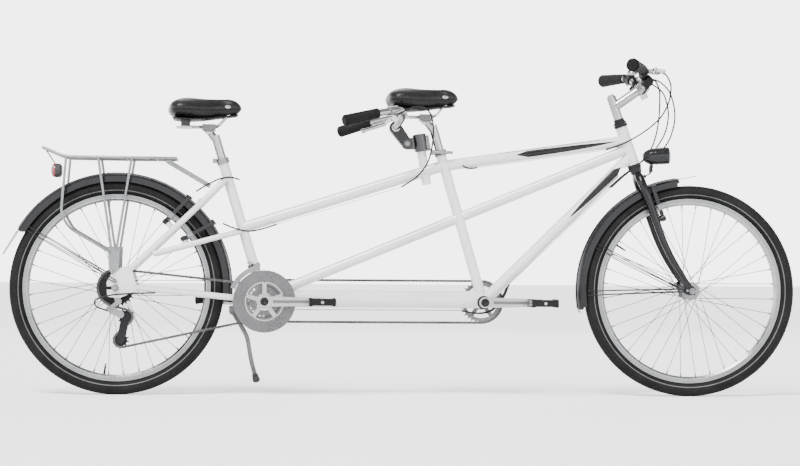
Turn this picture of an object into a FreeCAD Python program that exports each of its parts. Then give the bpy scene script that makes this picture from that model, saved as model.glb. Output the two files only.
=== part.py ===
"""A tandem bicycle: two riders in line, a white steel frame, 26 inch wheels and a timing chain on the left.

Millimetres. +X is forward, +Y is to the riders' left and +Z is up. Lengths along the bicycle are measured
forward from the rear axle and heights from the ground; the origin lies on the ground under the middle.
"""

import FreeCAD, Part
import math
import os

V = FreeCAD.Vector

# ---- driving dimensions -----------------------------------------------------------------------------
WHEELBASE = 1766.0
REAR_X = -872.0                 # the rear axle, forward of the origin
TYRE_R = 326.5                  # 26 x 1.75 tyre: 559 mm bead seat and 47 mm section
TREAD_HALF = 10.0
RIM_INNER_R = 266.0
HUB_HALF = {"front": 50.0, "rear": 67.5}
AXLE_R = 5.0
FIT = 0.05                      # radial clearance of every running fit

HEAD_ANGLE = 71.0
HEAD_BASE = (1592.0, 718.0)     # lower end of the head tube, on the steering axis
HEAD_TUBE = 122.0
STEERER_R = 14.3

PITCH = 12.7                    # half inch chain
ROLLER_R = 3.87
SEAT_R = 4.12                   # roller seat in a tooth gap
SPROCKET = 2.0                  # sprocket thickness
TIMING_TEETH = 32
TIMING_RUN = 53                 # whole links between the two timing rings
BB_Z = 288.0
STOKER_BB = (451.0, BB_Z)
CAPTAIN_BB = (451.0 + TIMING_RUN * PITCH, BB_Z)
CRANK = 175.0
TIMING_Y = 46.0
CRANK_Y = {-1: (69.0, 82.0), 1: (62.0, 75.0)}    # inner and outer face of the right and left arms
RING_TEETH = {-45.0: 24, -52.5: 34, -60.0: 42}
COG_TEETH = (28, 24, 22, 20, 18, 16, 14)
COG_Y = -36.0
COG_STEP = 4.6
PULLEY_TEETH = 11

SEAT_ANGLE = {"captain": 73.7, "stoker": 73.0}
SEAT_TOP = {"captain": (989.0, 751.0), "stoker": (319.0, 720.0)}
SEATPOST_R = 13.6
SADDLE_CLAMP = {"captain": (944.0, 850.0), "stoker": (277.0, 813.0)}

FENDER_R = 352.0
FENDER_HALF = 27.0
CAPTAIN_BAR = [(1617, 0, 956), (1617, 38, 956), (1604, 100, 985), (1592, 165, 999), (1541, 290, 1001)]
STOKER_BAR = [(850, 0, 824), (850, 38, 824), (870, 108, 856),
              (862, 168, 868), (792, 228, 856), (690, 275, 828)]
BAR_R = 11.1
BAR_WALL = 2.2
STOKER_PIVOT = (886.0, 775.0)


# ---- helpers ----------------------------------------------------------------------------------------
def at(x, y, z):
    """A point x forward of the rear axle, y to the left and z above the ground."""
    return V(x + REAR_X, y, z)


def ring_pos(centre, radius, degrees, y=0.0):
    """A point on a circle in the bicycle's plane; 0 degrees is forward and 90 is up."""
    a = math.radians(degrees)
    return at(centre[0] + radius * math.cos(a), y, centre[1] + radius * math.sin(a))


UP = V(-math.cos(math.radians(HEAD_ANGLE)), 0, math.sin(math.radians(HEAD_ANGLE)))
AHEAD = V(math.sin(math.radians(HEAD_ANGLE)), 0, math.cos(math.radians(HEAD_ANGLE)))


def steer(s, f=0.0, y=0.0):
    """A point s up the steering axis from the head tube's lower end, f ahead of it and y to the left."""
    return at(HEAD_BASE[0], y, HEAD_BASE[1]) + UP * s + AHEAD * f


def rod(a, b, r):
    return Part.makeCylinder(r, (b - a).Length, a, b - a)


def cone(a, b, r1, r2):
    return Part.makeCone(r1, r2, (b - a).Length, a, b - a)


def tube(a, b, r, bore):
    along = (b - a).normalize()
    return rod(a, b, r).cut(rod(a - along, b + along, bore))


def across(x, z, y0, y1, r):
    """A rod along Y."""
    return rod(at(x, min(y0, y1), z), at(x, max(y0, y1), z), r)


def sleeve(x, z, y0, y1, r, bore):
    return across(x, z, y0, y1, r).cut(across(x, z, min(y0, y1) - 1, max(y0, y1) + 1, bore))


def block(x0, x1, y0, y1, z0, z1):
    return Part.makeBox(x1 - x0, abs(y1 - y0), z1 - z0, at(x0, min(y0, y1), z0))


def beam(a, b, wide, tall, side=V(0, 1, 0)):
    """A rectangular bar from a to b; wide is along side."""
    along = (b - a).normalize()
    side = (side - along * side.dot(along)).normalize()
    over = along.cross(side)
    c = [a + side * (i * wide / 2) + over * (j * tall / 2) for i, j in ((-1, -1), (1, -1), (1, 1), (-1, 1))]
    return Part.Face(Part.makePolygon(c + c[:1])).extrude(b - a)


def plate(outline, y0, y1):
    """A flat plate in the bicycle's plane from its (x, z) outline."""
    points = [at(x, y0, z) for x, z in outline]
    return Part.Face(Part.makePolygon(points + points[:1])).extrude(V(0, y1 - y0, 0))


def link_plate(a, b, ra, rb, y0, y1):
    """A flat link round two (x, z) centres."""
    shape = across(a[0], a[1], y0, y1, ra).fuse(across(b[0], b[1], y0, y1, rb))
    dx, dz = b[0] - a[0], b[1] - a[1]
    long = math.hypot(dx, dz)
    lean = math.asin(max(-1.0, min(1.0, (ra - rb) / long)))
    way = math.atan2(dz, dx)
    corners = []
    for (x, z), r, turns in ((a, ra, (1, -1)), (b, rb, (-1, 1))):
        for s in turns:
            t = way + s * (math.pi / 2 - lean)
            corners.append((x + r * math.cos(t), z + r * math.sin(t)))
    return shape.fuse(plate(corners, y0, y1)).removeSplitter()


def route(points, share=0.45):
    """A wire of straight runs joined by tangent arcs."""
    edges, last = [], points[0]
    for a, b, c in zip(points, points[1:], points[2:]):
        u, w = (b - a), (c - b)
        reach = share * min(u.Length, w.Length)
        u.normalize()
        w.normalize()
        start, end = b - u * reach, b + w * reach
        half = u.getAngle(w) / 2
        radius = reach / math.tan(half)
        inward = (w - u).normalize()
        middle = b + inward * (radius / math.cos(half) - radius)
        if (start - last).Length > 1e-6:
            edges.append(Part.LineSegment(last, start).toShape())
        edges.append(Part.Arc(start, middle, end).toShape())
        last = end
    edges.append(Part.LineSegment(last, points[-1]).toShape())
    return Part.Wire(edges)


def bent(points, r, share=0.45):
    """A round bar along straight runs and tangent arcs."""
    path = route(points, share)
    first = Part.Wire(Part.Circle(points[0], points[1] - points[0], r).toShape())
    return path.makePipeShell([first], True, True)


def fuse(shapes):
    whole = shapes[0]
    for s in shapes[1:]:
        whole = whole.fuse(s)
    return whole.removeSplitter()


def cut(shape, tools):
    for t in tools:
        shape = shape.cut(t)
    return shape


def solids(shapes):
    """Every separate solid of the shapes, as one node."""
    found = [s for shape in shapes for s in shape.Solids]
    return Part.makeCompound(found)


def mirror(shape):
    return shape.mirror(V(0, 0, 0), V(0, 1, 0))


def save(name, shapes):
    node = solids(shapes if isinstance(shapes, list) else [shapes])
    bad = [s for s in node.Solids if not s.isValid() or s.Volume < 1.0]
    note = f"  ({len(bad)} bad)" if bad else ""
    print(f"{name}: {len(node.Solids)} solids, {node.Volume / 1000:.1f} cm3{note}")
    node.exportStep(f"parts/{name}.step")


# ---- frame ------------------------------------------------------------------------------------------
MAIN_R = 17.0                   # top tubes; the down tube is 1 mm more
MIDDLE_R = 15.7                 # the tube that runs from the stoker's bottom bracket to the head tube
WALL = 1.6
SHELL_R = 20.0                  # bottom bracket shells
SHELL_HALF = 34.0
HEAD_R = 18.5
SEAT_TUBE_R = 15.9
BOOM = (26.5, 20.0)             # half height and half width of the tube between the bottom brackets


def frame_solid(a, b, r):
    return rod(at(a[0], 0, a[1]), at(b[0], 0, b[1]), r)


def oval_boom(grow):
    """The oval tube between the two bottom brackets."""
    tall, half = BOOM[0] + grow, BOOM[1] + grow
    start = at(STOKER_BB[0], 0, BB_Z + 8)
    edge = Part.Ellipse(start + V(0, 0, tall), start + V(0, half, 0), start).toShape()
    return Part.Face(Part.Wire(edge)).extrude(V(CAPTAIN_BB[0] - STOKER_BB[0], 0, 0))


def main_frame():
    """Straight tubes, each mitred against the ones it joins."""
    head = tube(steer(0), steer(HEAD_TUBE), HEAD_R, STEERER_R + 2.2)
    head_full = rod(steer(0), steer(HEAD_TUBE), HEAD_R)
    shells, shell_full = [], []
    for x, z in (STOKER_BB, CAPTAIN_BB):
        shells.append(sleeve(x, z, -SHELL_HALF, SHELL_HALF, SHELL_R, 17.0))
        shell_full.append(across(x, z, -SHELL_HALF, SHELL_HALF, SHELL_R))
    seats, seat_full = [], []
    for rider, bb in (("captain", CAPTAIN_BB), ("stoker", STOKER_BB)):
        low, top = at(bb[0], 0, bb[1]), at(SEAT_TOP[rider][0], 0, SEAT_TOP[rider][1])
        seat_full.append(rod(low, top, SEAT_TUBE_R))
        seats.append(cut(tube(low, top, SEAT_TUBE_R, SEATPOST_R + FIT), shell_full))
    post_full = rod(at(948, 0, 650), at(923, 0, 806), 14.3)
    post = tube(at(948, 0, 650), at(923, 0, 806), 14.3, 12.3)

    def mitred(a, b, r, against):
        a, b = at(a[0], 0, a[1]), at(b[0], 0, b[1])
        return cut(tube(a, b, r, r - WALL), against), rod(a, b, r)

    both = [head_full] + seat_full + shell_full
    top, top_full = mitred((997, 708), (1568, 791), MAIN_R, both)
    rear_top, rear_top_full = mitred((382, 513), (1000, 709), MAIN_R, both + [post_full, top_full])
    down, down_full = mitred((1124, 288), (1583.5, 742.6), MAIN_R + 1, both + [rod(steer(-60), steer(0), 60)])
    boom = cut(oval_boom(0).cut(oval_boom(-WALL)), both + [down_full])
    middle, _ = mitred((462, 305.3), (1574, 766), MIDDLE_R, both + [top_full, down_full, oval_boom(0)])
    tubes = [head, post] + shells + seats
    for group in (top, rear_top, down, boom, middle):
        tubes += [s for s in group.Solids if s.Volume > 3000]
    return tubes, both + [rear_top_full, oval_boom(0)]


def stay_points(kind, side):
    """Centre lines of the stays, from the front to the rear axle."""
    lines = {
        "seat": [(332, 22, 664), (262, 41, 592), (150, 47, 484), (22, 66, 364)],
        "middle": [(383, 20, 504), (318, 41, 486), (215, 49, 458), (112, 59, 430)],
        "chain": [(441, 25, 290), (352, 36.5, 299), (160, 52, 318), (46, 64.5, 328.8)],
    }
    return [at(x, y * side, z) for x, y, z in lines[kind]]


STAY_R = {"seat": 9.5, "middle": 8.5, "chain": 9.5}


SEAT_BRIDGE = (254.0, 596.0)
LOW_BRIDGE = (376.0, 296.0)
BRIDGE_R = 7.0


def dropout(side):
    """The plate that holds the rear axle, open to the rear."""
    inner = HUB_HALF["rear"]
    outline = [(-24, 300), (14, 296), (62, 318), (62, 338), (48, 384), (26, 392), (-8, 376), (-26, 345)]
    drop = plate(outline, side * inner, side * (inner + 6))
    slot = block(-30, 0, side * (inner - 1), side * (inner + 7), TYRE_R - 5.2, TYRE_R + 5.2)
    return drop.cut(slot).cut(across(0, TYRE_R, side * (inner - 1), side * (inner + 7), 5.2))


def biggest(shape):
    return max(shape.Solids, key=lambda s: s.Volume)


def rear_triangle(main_full):
    """Dropouts, three pairs of stays, two bridges and the brakes' bosses."""
    made = []
    cups = across(*STOKER_BB, -39, 39, 20.8)
    for side in (1, -1):
        full = {k: bent(stay_points(k, side), STAY_R[k], 0.4) for k in STAY_R}
        drop = dropout(side)
        made.append(drop)
        for kind in ("chain", "seat", "middle"):
            tools = main_full + [drop, cups] + ([full["seat"]] if kind == "middle" else [])
            made.append(biggest(cut(full[kind], tools)))
    stays = list(made)
    for place, half in ((SEAT_BRIDGE, 40), (LOW_BRIDGE, 36)):
        made.append(biggest(cut(across(*place, -half, half, BRIDGE_R), stays)))
    for boss in brake_bosses("rear") + brake_bosses("drag"):
        made.append(biggest(cut(boss, stays)))
    return made


def frame_bearings():
    """Headset cups and bottom bracket cups."""
    made = []
    for low, high, inset in ((-12, 0, 8), (HEAD_TUBE, HEAD_TUBE + 9, -8)):
        edge = 0 if inset > 0 else HEAD_TUBE
        cup = rod(steer(low), steer(high), 21).fuse(rod(steer(edge), steer(edge + inset), STEERER_R + 2.2))
        made.append(cup.cut(rod(steer(-20), steer(HEAD_TUBE + 20), STEERER_R + FIT)).removeSplitter())
    for x, z in (STOKER_BB, CAPTAIN_BB):
        for side in (1, -1):
            body = across(x, z, side * 22, side * SHELL_HALF, 17.0)
            lip = across(x, z, side * SHELL_HALF, side * (SHELL_HALF + 4), 20.5)
            made.append(body.fuse(lip).removeSplitter().cut(across(x, z, side * 20, side * 40, 8.5 + FIT)))
    return made


# ---- wheels -----------------------------------------------------------------------------------------
def spun(edges, centre):
    """A closed (y, r) outline turned about an axle."""
    face = Part.Face(Part.Wire(edges))
    return face.revolve(at(centre[0], 0, centre[1]), V(0, 1, 0), 360)


def outline_at(centre):
    def point(y, r):
        return at(centre[0], y, centre[1] + r)

    def line(a, b):
        return Part.LineSegment(point(*a), point(*b)).toShape()

    def arc(a, m, b):
        return Part.Arc(point(*a), point(*m), point(*b)).toShape()

    return line, arc


def tyre(centre):
    line, arc = outline_at(centre)
    edges = []
    for s in (1, -1):
        edges += [
            line((s * 6.5, 281), (s * 9.6, 281)),
            line((s * 9.6, 281), (s * 9.6, 286.8)),
            arc((s * 9.6, 286.8), (s * 23.5, 304), (s * 13.5, 324.2)),
            line((s * 13.5, 324.2), (s * TREAD_HALF, TYRE_R)),
            line((s * 6.5, 281), (s * 6.5, 288)),
            arc((s * 6.5, 288), (s * 20.3, 304), (0, 323.3)),
        ]
    edges.append(line((-TREAD_HALF, TYRE_R), (TREAD_HALF, TYRE_R)))
    return spun(Part.__sortEdges__(edges), centre)


def rim(centre):
    line, _ = outline_at(centre)
    half = [(12.25, 286), (12.25, 272), (7, RIM_INNER_R), (-7, RIM_INNER_R), (-12.25, 272), (-12.25, 286)]
    half += [(-9.9, 286), (-9.9, 279.5), (9.9, 279.5), (9.9, 286)]
    return spun([line(a, b) for a, b in zip(half, half[1:] + half[:1])], centre)


def spokes(centre, flanges, barrel_r, flange_r=24.0):
    """A hub with two flanges and 36 spokes laced three-cross."""
    x, z = centre
    left, right = flanges
    hub = across(x, z, right - 5, left + 5, barrel_r)
    for y in flanges:
        hub = hub.fuse(across(x, z, y - 1.5, y + 1.5, flange_r + 4))
    made = [hub.cut(across(x, z, right - 9, left + 9, AXLE_R + FIT)).removeSplitter()]
    for side, y in ((1, left), (-1, right)):
        for k in range(18):
            leading = k % 2 == 0
            at_rim = k * 20 + (5 if side > 0 else 15)
            at_hub = at_rim + (62 if leading else -62)
            out = 2.7 if leading else -2.7
            start = ring_pos(centre, flange_r, at_hub, y + side * out)
            end = ring_pos(centre, RIM_INNER_R + 4, at_rim, side * (4.4 if leading else 1.8))
            made.append(rod(start, end, 1.0))
    return made


def axle(centre, half, reach, cone_width):
    """A fixed axle reaching past the dropouts, with a cone nut inside each."""
    x, z = centre
    made = across(x, z, -half - reach, half + reach, AXLE_R)
    for side in (1, -1):
        made = made.fuse(across(x, z, side * (half - cone_width), side * half, 9))
    return made


# ---- sprockets and chains ---------------------------------------------------------------------------
def pitch_radius(teeth):
    return PITCH / (2 * math.sin(math.pi / teeth))


def sprocket(centre, teeth, phase, y, bore):
    """A toothed disc; a roller seat lies at the angle phase, in degrees."""
    r, step = pitch_radius(teeth), 360.0 / teeth
    tip = r + 3.4
    edges, tips = [], []
    for k in range(teeth):
        a = math.radians(phase + k * step)
        c = V(centre[0] + r * math.cos(a), 0, centre[1] + r * math.sin(a))

        def seat(turn):
            b = a + math.pi + math.radians(turn)
            return at(c.x + SEAT_R * math.cos(b), y - SPROCKET / 2, c.z + SEAT_R * math.sin(b))

        def crest(share):
            b = a + math.radians(step * share)
            return at(centre[0] + tip * math.cos(b), y - SPROCKET / 2, centre[1] + tip * math.sin(b))

        before, after = crest(-0.42), crest(0.42)
        edges.append(Part.LineSegment(before, seat(75)).toShape())
        edges.append(Part.Arc(seat(75), seat(0), seat(-75)).toShape())
        edges.append(Part.LineSegment(seat(-75), after).toShape())
        tips.append((before, after))
    for k in range(teeth):
        edges.append(Part.LineSegment(tips[k][1], tips[(k + 1) % teeth][0]).toShape())
    disc = Part.Face(Part.Wire(Part.__sortEdges__(edges))).extrude(V(0, SPROCKET, 0))
    return disc.cut(across(centre[0], centre[1], y - 5, y + 5, bore))


def links():
    """One outer and one inner chain link, from the pin at the origin to the pin one pitch along +X."""
    def strip(y0, y1, r):
        a = Part.makeCylinder(r, y1 - y0, V(0, y0, 0), V(0, 1, 0))
        b = Part.makeCylinder(r, y1 - y0, V(PITCH, y0, 0), V(0, 1, 0))
        waist = Part.makeBox(PITCH, y1 - y0, 1.7 * r, V(0, y0, -0.85 * r))
        return a.fuse(b).fuse(waist).removeSplitter()

    outer = strip(2.2, 3.1, 4.1).fuse(strip(-3.1, -2.2, 4.1))
    inner = strip(1.35, 2.1, 4.1).fuse(strip(-2.1, -1.35, 4.1))
    for x in (0, PITCH):
        outer = outer.fuse(Part.makeCylinder(1.7, 7.0, V(x, -3.5, 0), V(0, 1, 0)))
        inner = inner.fuse(Part.makeCylinder(ROLLER_R, 2.8, V(x, -1.4, 0), V(0, 1, 0)))
        inner = inner.cut(Part.makeCylinder(1.85, 6, V(x, -3, 0), V(0, 1, 0)))
    return outer.removeSplitter(), inner.removeSplitter()


def chain(pins):
    """Alternate links between successive pins (x, y, z), as a closed loop."""
    kinds = links()
    made = []
    for k, a in enumerate(pins):
        b = pins[(k + 1) % len(pins)]
        a, b = at(*a), at(*b)
        along = b - a
        pitch_angle = math.degrees(math.atan2(along.z, along.x))
        yaw = math.degrees(math.asin(along.y / along.Length))
        turn = FreeCAD.Rotation(V(0, 1, 0), -pitch_angle).multiply(FreeCAD.Rotation(V(0, 0, 1), yaw))
        link = kinds[k % 2].copy()
        link.Placement = FreeCAD.Placement(a, turn)
        made.append(link)
    return made


class Loop:
    """A chain's way round sprockets given as (centre, teeth, turn); turn is +1 from top to rear."""

    def __init__(self, stations):
        self.arcs, self.runs = [], []
        n = len(stations)
        tangents = [self.tangent(stations[k], stations[(k + 1) % n]) for k in range(n)]
        for k, (centre, teeth, turn) in enumerate(stations):
            start, end = tangents[k - 1][1], tangents[k][0]
            a0 = math.atan2(start[1] - centre[1], start[0] - centre[0])
            a1 = math.atan2(end[1] - centre[1], end[0] - centre[0])
            sweep = (a1 - a0) * turn % (2 * math.pi)
            self.arcs.append((centre, teeth, turn, a0, sweep))
            self.runs.append(tangents[k])

    @staticmethod
    def tangent(one, two):
        (c1, t1, s1), (c2, t2, s2) = one, two
        r1, r2 = pitch_radius(t1) * s1, pitch_radius(t2) * s2
        dx, dz = c2[0] - c1[0], c2[1] - c1[1]
        d = math.hypot(dx, dz)
        way = math.atan2(dz, dx)
        lean = math.asin((r1 - r2) / d)
        n = way + lean - math.pi / 2
        return ((c1[0] + r1 * math.cos(n), c1[1] + r1 * math.sin(n)),
                (c2[0] + r2 * math.cos(n), c2[1] + r2 * math.sin(n)))

    def lengths(self):
        out = []
        for (_, teeth, _, _, sweep), (p, q) in zip(self.arcs, self.runs):
            out.append(sweep * teeth / (2 * math.pi) * PITCH)
            out.append(math.hypot(q[0] - p[0], q[1] - p[1]))
        return out

    def total(self):
        return sum(self.lengths())

    def point(self, s, ys):
        """The place s along the loop; ys gives each sprocket's y."""
        for k, length in enumerate(self.lengths()):
            j = k // 2
            if s <= length or k == 2 * len(self.arcs) - 1:
                if k % 2 == 0:
                    centre, teeth, turn, a0, _ = self.arcs[j]
                    a = a0 + turn * s / PITCH * 2 * math.pi / teeth
                    r = pitch_radius(teeth)
                    return (centre[0] + r * math.cos(a), ys[j], centre[1] + r * math.sin(a))
                p, q = self.runs[j]
                t = s / length
                y = ys[j] + t * (ys[(j + 1) % len(ys)] - ys[j])
                return (p[0] + t * (q[0] - p[0]), y, p[1] + t * (q[1] - p[1]))
            s -= length

    def phase(self, j):
        """The angle of one roller on sprocket j, in degrees."""
        before = sum(self.lengths()[: 2 * j])
        centre, teeth, turn, a0, _ = self.arcs[j]
        first = math.ceil(before / PITCH - 1e-9) * PITCH - before
        return math.degrees(a0 + turn * first / PITCH * 2 * math.pi / teeth)


CAGE_PIVOT = (15.0, 246.0)
UPPER_PULLEY = (29.0, 239.0)
LOWER_PULLEY = (20.0, 168.0)


def turned(p, degrees):
    a = math.radians(degrees)
    dx, dz = p[0] - CAGE_PIVOT[0], p[1] - CAGE_PIVOT[1]
    return (CAGE_PIVOT[0] + dx * math.cos(a) - dz * math.sin(a),
            CAGE_PIVOT[1] + dx * math.sin(a) + dz * math.cos(a))


def drive_loop(degrees):
    """The drive chain's way with the derailleur cage turned by some degrees."""
    cog = ((0.0, TYRE_R), COG_TEETH[0], 1)
    upper = (turned(UPPER_PULLEY, degrees), PULLEY_TEETH, -1)
    lower = (turned(LOWER_PULLEY, degrees), PULLEY_TEETH, 1)
    return Loop([(STOKER_BB, 24, 1), cog, upper, lower])


def taut_cage():
    """The cage angle at which the drive chain is a whole, even number of links."""
    count = 2 * round(drive_loop(0).total() / (2 * PITCH))
    low, high = -12.0, 12.0
    rising = drive_loop(high).total() > drive_loop(low).total()
    for _ in range(50):
        mid = (low + high) / 2
        if (drive_loop(mid).total() < count * PITCH) == rising:
            low = mid
        else:
            high = mid
    return mid, count


# ---- drivetrain -------------------------------------------------------------------------------------
def crank_arm(centre, side, way, inner, outer, boss_to):
    """A forged arm with its boss, and the pedal's spindle; way is +1 forward and -1 to the rear."""
    x, z = centre
    end = (x + way * CRANK, z)
    arm = link_plate(centre, end, 16.0, 11.5, side * inner, side * outer)
    arm = arm.fuse(across(x, z, side * boss_to, side * outer, 16.5)).removeSplitter()
    collar = across(end[0], end[1], side * outer, side * (outer + 2.5), 8)
    spindle = across(end[0], end[1], side * outer, side * (outer + 91), 4.5).fuse(collar).removeSplitter()
    return [arm, spindle]


def cranks(centre):
    """Both arms, both pedal spindles and the spindle in the bottom bracket."""
    spindle = across(centre[0], centre[1], -60, 60, 8.5)
    arms = crank_arm(centre, -1, 1, *CRANK_Y[-1], 39) + crank_arm(centre, 1, -1, *CRANK_Y[1], 39)
    return [spindle] + [a.cut(spindle) for a in arms]


def spider(centre, y0, y1, reach, bolts_to):
    """Five arms that carry a ring."""
    made = across(centre[0], centre[1], y0, y1, 24).cut(across(centre[0], centre[1], y0 - 1, y1 + 1, 16.5))
    for k in range(5):
        a = 90 + k * 72
        root, end = (ring_pos(centre, r, a, (y0 + y1) / 2) for r in (20, reach))
        made = made.fuse(beam(root, end, abs(y1 - y0), 13, V(0, 1, 0)))
        bolt_from = y1 if abs(bolts_to - y1) > abs(bolts_to - y0) else y0
        head, tip = (ring_pos(centre, reach - 6, a, y) for y in sorted((bolts_to, bolt_from)))
        made = made.fuse(rod(head, tip, 4.5))
    return made.removeSplitter()


def timing_ring(centre, phase):
    ring = sprocket(centre, TIMING_TEETH, phase, TIMING_Y, 50)
    return [ring, spider(centre, TIMING_Y + 1.0, TIMING_Y + 5.5, 56, TIMING_Y + 8.0)]


def chainrings(loop):
    made = []
    for y, teeth in RING_TEETH.items():
        bore = {24: 27.0, 34: 50.0, 42: 56.0}[teeth]
        phase = loop.phase(0) if teeth == 24 else 90.0
        made.append(sprocket(STOKER_BB, teeth, phase, y, bore))
    guard = sleeve(*STOKER_BB, -65.5, -62.5, 95, 60)
    arms = spider(STOKER_BB, -59.0, -53.5, 68, -62.5)
    arms = arms.cut(sleeve(*STOKER_BB, -61.0, -59.0, 90, 56))
    inner = spider(STOKER_BB, -51.0, -46.0, 33, -53.5)
    return made + [guard, arms, inner]


def cassette(loop):
    """Seven cogs on a freewheel body."""
    body = sleeve(0, TYRE_R, -66, -28, 17, AXLE_R + FIT)
    made = [body]
    for k, teeth in enumerate(COG_TEETH):
        y = COG_Y - k * COG_STEP
        made.append(sprocket((0, TYRE_R), teeth, loop.phase(1) if k == 0 else 90.0, y, 17))
        if k:
            made.append(sleeve(0, TYRE_R, y + 1, y + COG_STEP - 1, 21, 17))
    return made


PEDAL_HALF = (35.0, 11.0)       # half length and half height of a pedal body


def pedal(centre, side, way, inner):
    """A platform pedal turning on its spindle: an open body, two tread bars and the bearing barrel."""
    x, z = centre[0] + way * CRANK, centre[1]
    y0, y1 = side * inner, side * (inner + 88)
    half, tall = PEDAL_HALF
    made = [across(x, z, y0, y1, 10)]
    for s in (1, -1):
        made.append(block(x + s * half - 5, x + s * half + 5, y0, y1, z - tall, z + tall))
        y = y0 + side * 4 if s > 0 else y1 - side * 4
        made.append(block(x - half, x + half, y - 4, y + 4, z - tall + 1, z + tall - 1))
    return fuse(made).cut(across(x, z, y0 - side * 2, y1 + side * 2, 4.5 + FIT))


# ---- derailleurs ------------------------------------------------------------------------------------
CAGE_PIN_R = 4.0


def derailleur_cage(upper, lower):
    """Two side plates joined by the pulleys' pins; the outer one turns on the body's pin."""
    outer = link_plate(upper, lower, 13, 12, -43.0, -41.5)
    outer = outer.fuse(link_plate(CAGE_PIVOT, upper, 11, 11, -43.0, -41.5)).removeSplitter()
    outer = outer.cut(across(*CAGE_PIVOT, -50, -20, CAGE_PIN_R + FIT))
    inner = link_plate(upper, lower, 13, 12, -30.5, -29.0)
    pins = [across(p[0], p[1], -43, -29, 2.5) for p in (upper, lower)]
    return [fuse([outer, inner] + pins)]


def pulley(centre, loop, j):
    """A guide wheel with a wider hub between the cage's plates."""
    wheel = sprocket(centre, PULLEY_TEETH, loop.phase(j), COG_Y, 2.5 + FIT)
    return wheel.fuse(sleeve(*centre, COG_Y - 4.5, COG_Y + 4.5, 7, 2.5 + FIT)).removeSplitter()


def derailleur_body():
    """Mounting knuckle, parallelogram and cage knuckle."""
    hanger = link_plate((4, 300), (10, 286), 9, 9, -73.5, -67.6).cut(dropout(-1))
    knuckle = across(10, 286, -86, -73.5, 10).fuse(across(10, 286, -90, -60, 3)).removeSplitter()
    arms = [beam(at(8, y, 283), at(-18, y + 14, 262), 3, 12) for y in (-83.0, -76.0)]
    lower = link_plate((-20, 262), CAGE_PIVOT, 9, 11, -62, -46)
    pin = across(*CAGE_PIVOT, -46, -40.8, CAGE_PIN_R)
    body = fuse([knuckle, lower, pin] + arms)
    return [body, hanger.cut(body)]


FD_TUBE = 395.0                 # height of the front derailleur's clamp on the seat tube


def seat_axis(rider, z):
    top = SEAT_TOP[rider]
    bb = STOKER_BB if rider == "stoker" else CAPTAIN_BB
    return bb[0] + (z - bb[1]) * (top[0] - bb[0]) / (top[1] - bb[1])


def tube_band(rider, z, tall, r, bore):
    x0, x1 = seat_axis(rider, z - tall / 2), seat_axis(rider, z + tall / 2)
    return tube(at(x0, 0, z - tall / 2), at(x1, 0, z + tall / 2), r, bore)


def sector(centre, r0, r1, a0, a1, y0, y1):
    """A flat arc-shaped strip."""
    def arc(r):
        return Part.Arc(ring_pos(centre, r, a0, y0), ring_pos(centre, r, (a0 + a1) / 2, y0),
                        ring_pos(centre, r, a1, y0)).toShape()

    sides = [Part.LineSegment(ring_pos(centre, r0, a, y0), ring_pos(centre, r1, a, y0)).toShape()
             for a in (a0, a1)]
    face = Part.Face(Part.Wire(Part.__sortEdges__([arc(r0), arc(r1)] + sides)))
    return face.extrude(V(0, y1 - y0, 0))


def shifting_cage():
    """The front derailleur's cage round the chain."""
    inner = sector(STOKER_BB, 97, 112, 98, 158, -39.5, -38.0)
    outer = sector(STOKER_BB, 97, 112, 98, 158, -53.0, -51.5)
    over = sector(STOKER_BB, 110, 112, 98, 112, -53.0, -38.0)
    tail = sector(STOKER_BB, 110, 112, 154, 158, -53.0, -38.0)
    return [fuse([inner, outer, over, tail])]


# ---- kickstand --------------------------------------------------------------------------------------
STAND_PIVOT = (352.0, 44.0, 255.0)
STAND_AXIS = V(-0.069, 0.992, 0.054)


def kickstand():
    pivot = at(*STAND_PIVOT)
    head = rod(pivot - STAND_AXIS * 7, pivot + STAND_AXIS * 7, 11)
    knee, end = at(415, 52, 86), at(424, 84, 50)
    leg = bent([pivot, at(381, 45, 207), at(398, 45.5, 176), at(409, 47, 112), knee, end], 7, 0.4)
    down = (end - knee).normalize()
    foot = cone(end - down * 11, end + down * 13, 9, 12)
    bore = rod(pivot - STAND_AXIS * 12, pivot + STAND_AXIS * 12, 4 + FIT)
    return [fuse([head, leg]).cut(bore).cut(foot), foot]


def stand_bracket():
    pivot = at(*STAND_PIVOT)
    pin = rod(pivot - STAND_AXIS * 10, pivot + STAND_AXIS * 8, 4)
    clamp = block(358, 396, -21.5, 21.5, 283, 291).cut(across(*LOW_BRIDGE, -40, 40, BRIDGE_R))
    foot = beam(at(352, 0, 262), at(352, 36, 262), 20, 20, V(1, 0, 0))
    neck = block(354, 372, -10, 28, 262, 284)
    return fuse([clamp, neck, foot.cut(rod(pivot - STAND_AXIS * 7.3, pivot + STAND_AXIS * 9, 11.5)), pin])


# ---- brakes -----------------------------------------------------------------------------------------
REAR_HUB = (0.0, TYRE_R)
FRONT_HUB = (WHEELBASE, TYRE_R)
PAD_R = 276.0


def unit(x, z):
    long = math.hypot(x, z)
    return V(x / long, 0, z / long)


BRAKES = {
    "front": (steer(-186, 27), UP, FRONT_HUB),
    "rear": (at(148, 0, 530), unit(0.70, 0.714), REAR_HUB),
    "drag": (at(203, 0, 478), unit(0.88, 0.475), REAR_HUB),
}
ARM_Y = 40.0
ARM_LONG = 108.0


def brake_out(name):
    """The bosses point away from the frame: ahead on the fork, up and back on the stays."""
    up = BRAKES[name][1]
    out = V(0, 1, 0).cross(up)
    wanted = AHEAD if name == "front" else V(-0.5, 0, 0.8)
    return out if out.dot(wanted) > 0 else out * -1


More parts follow.
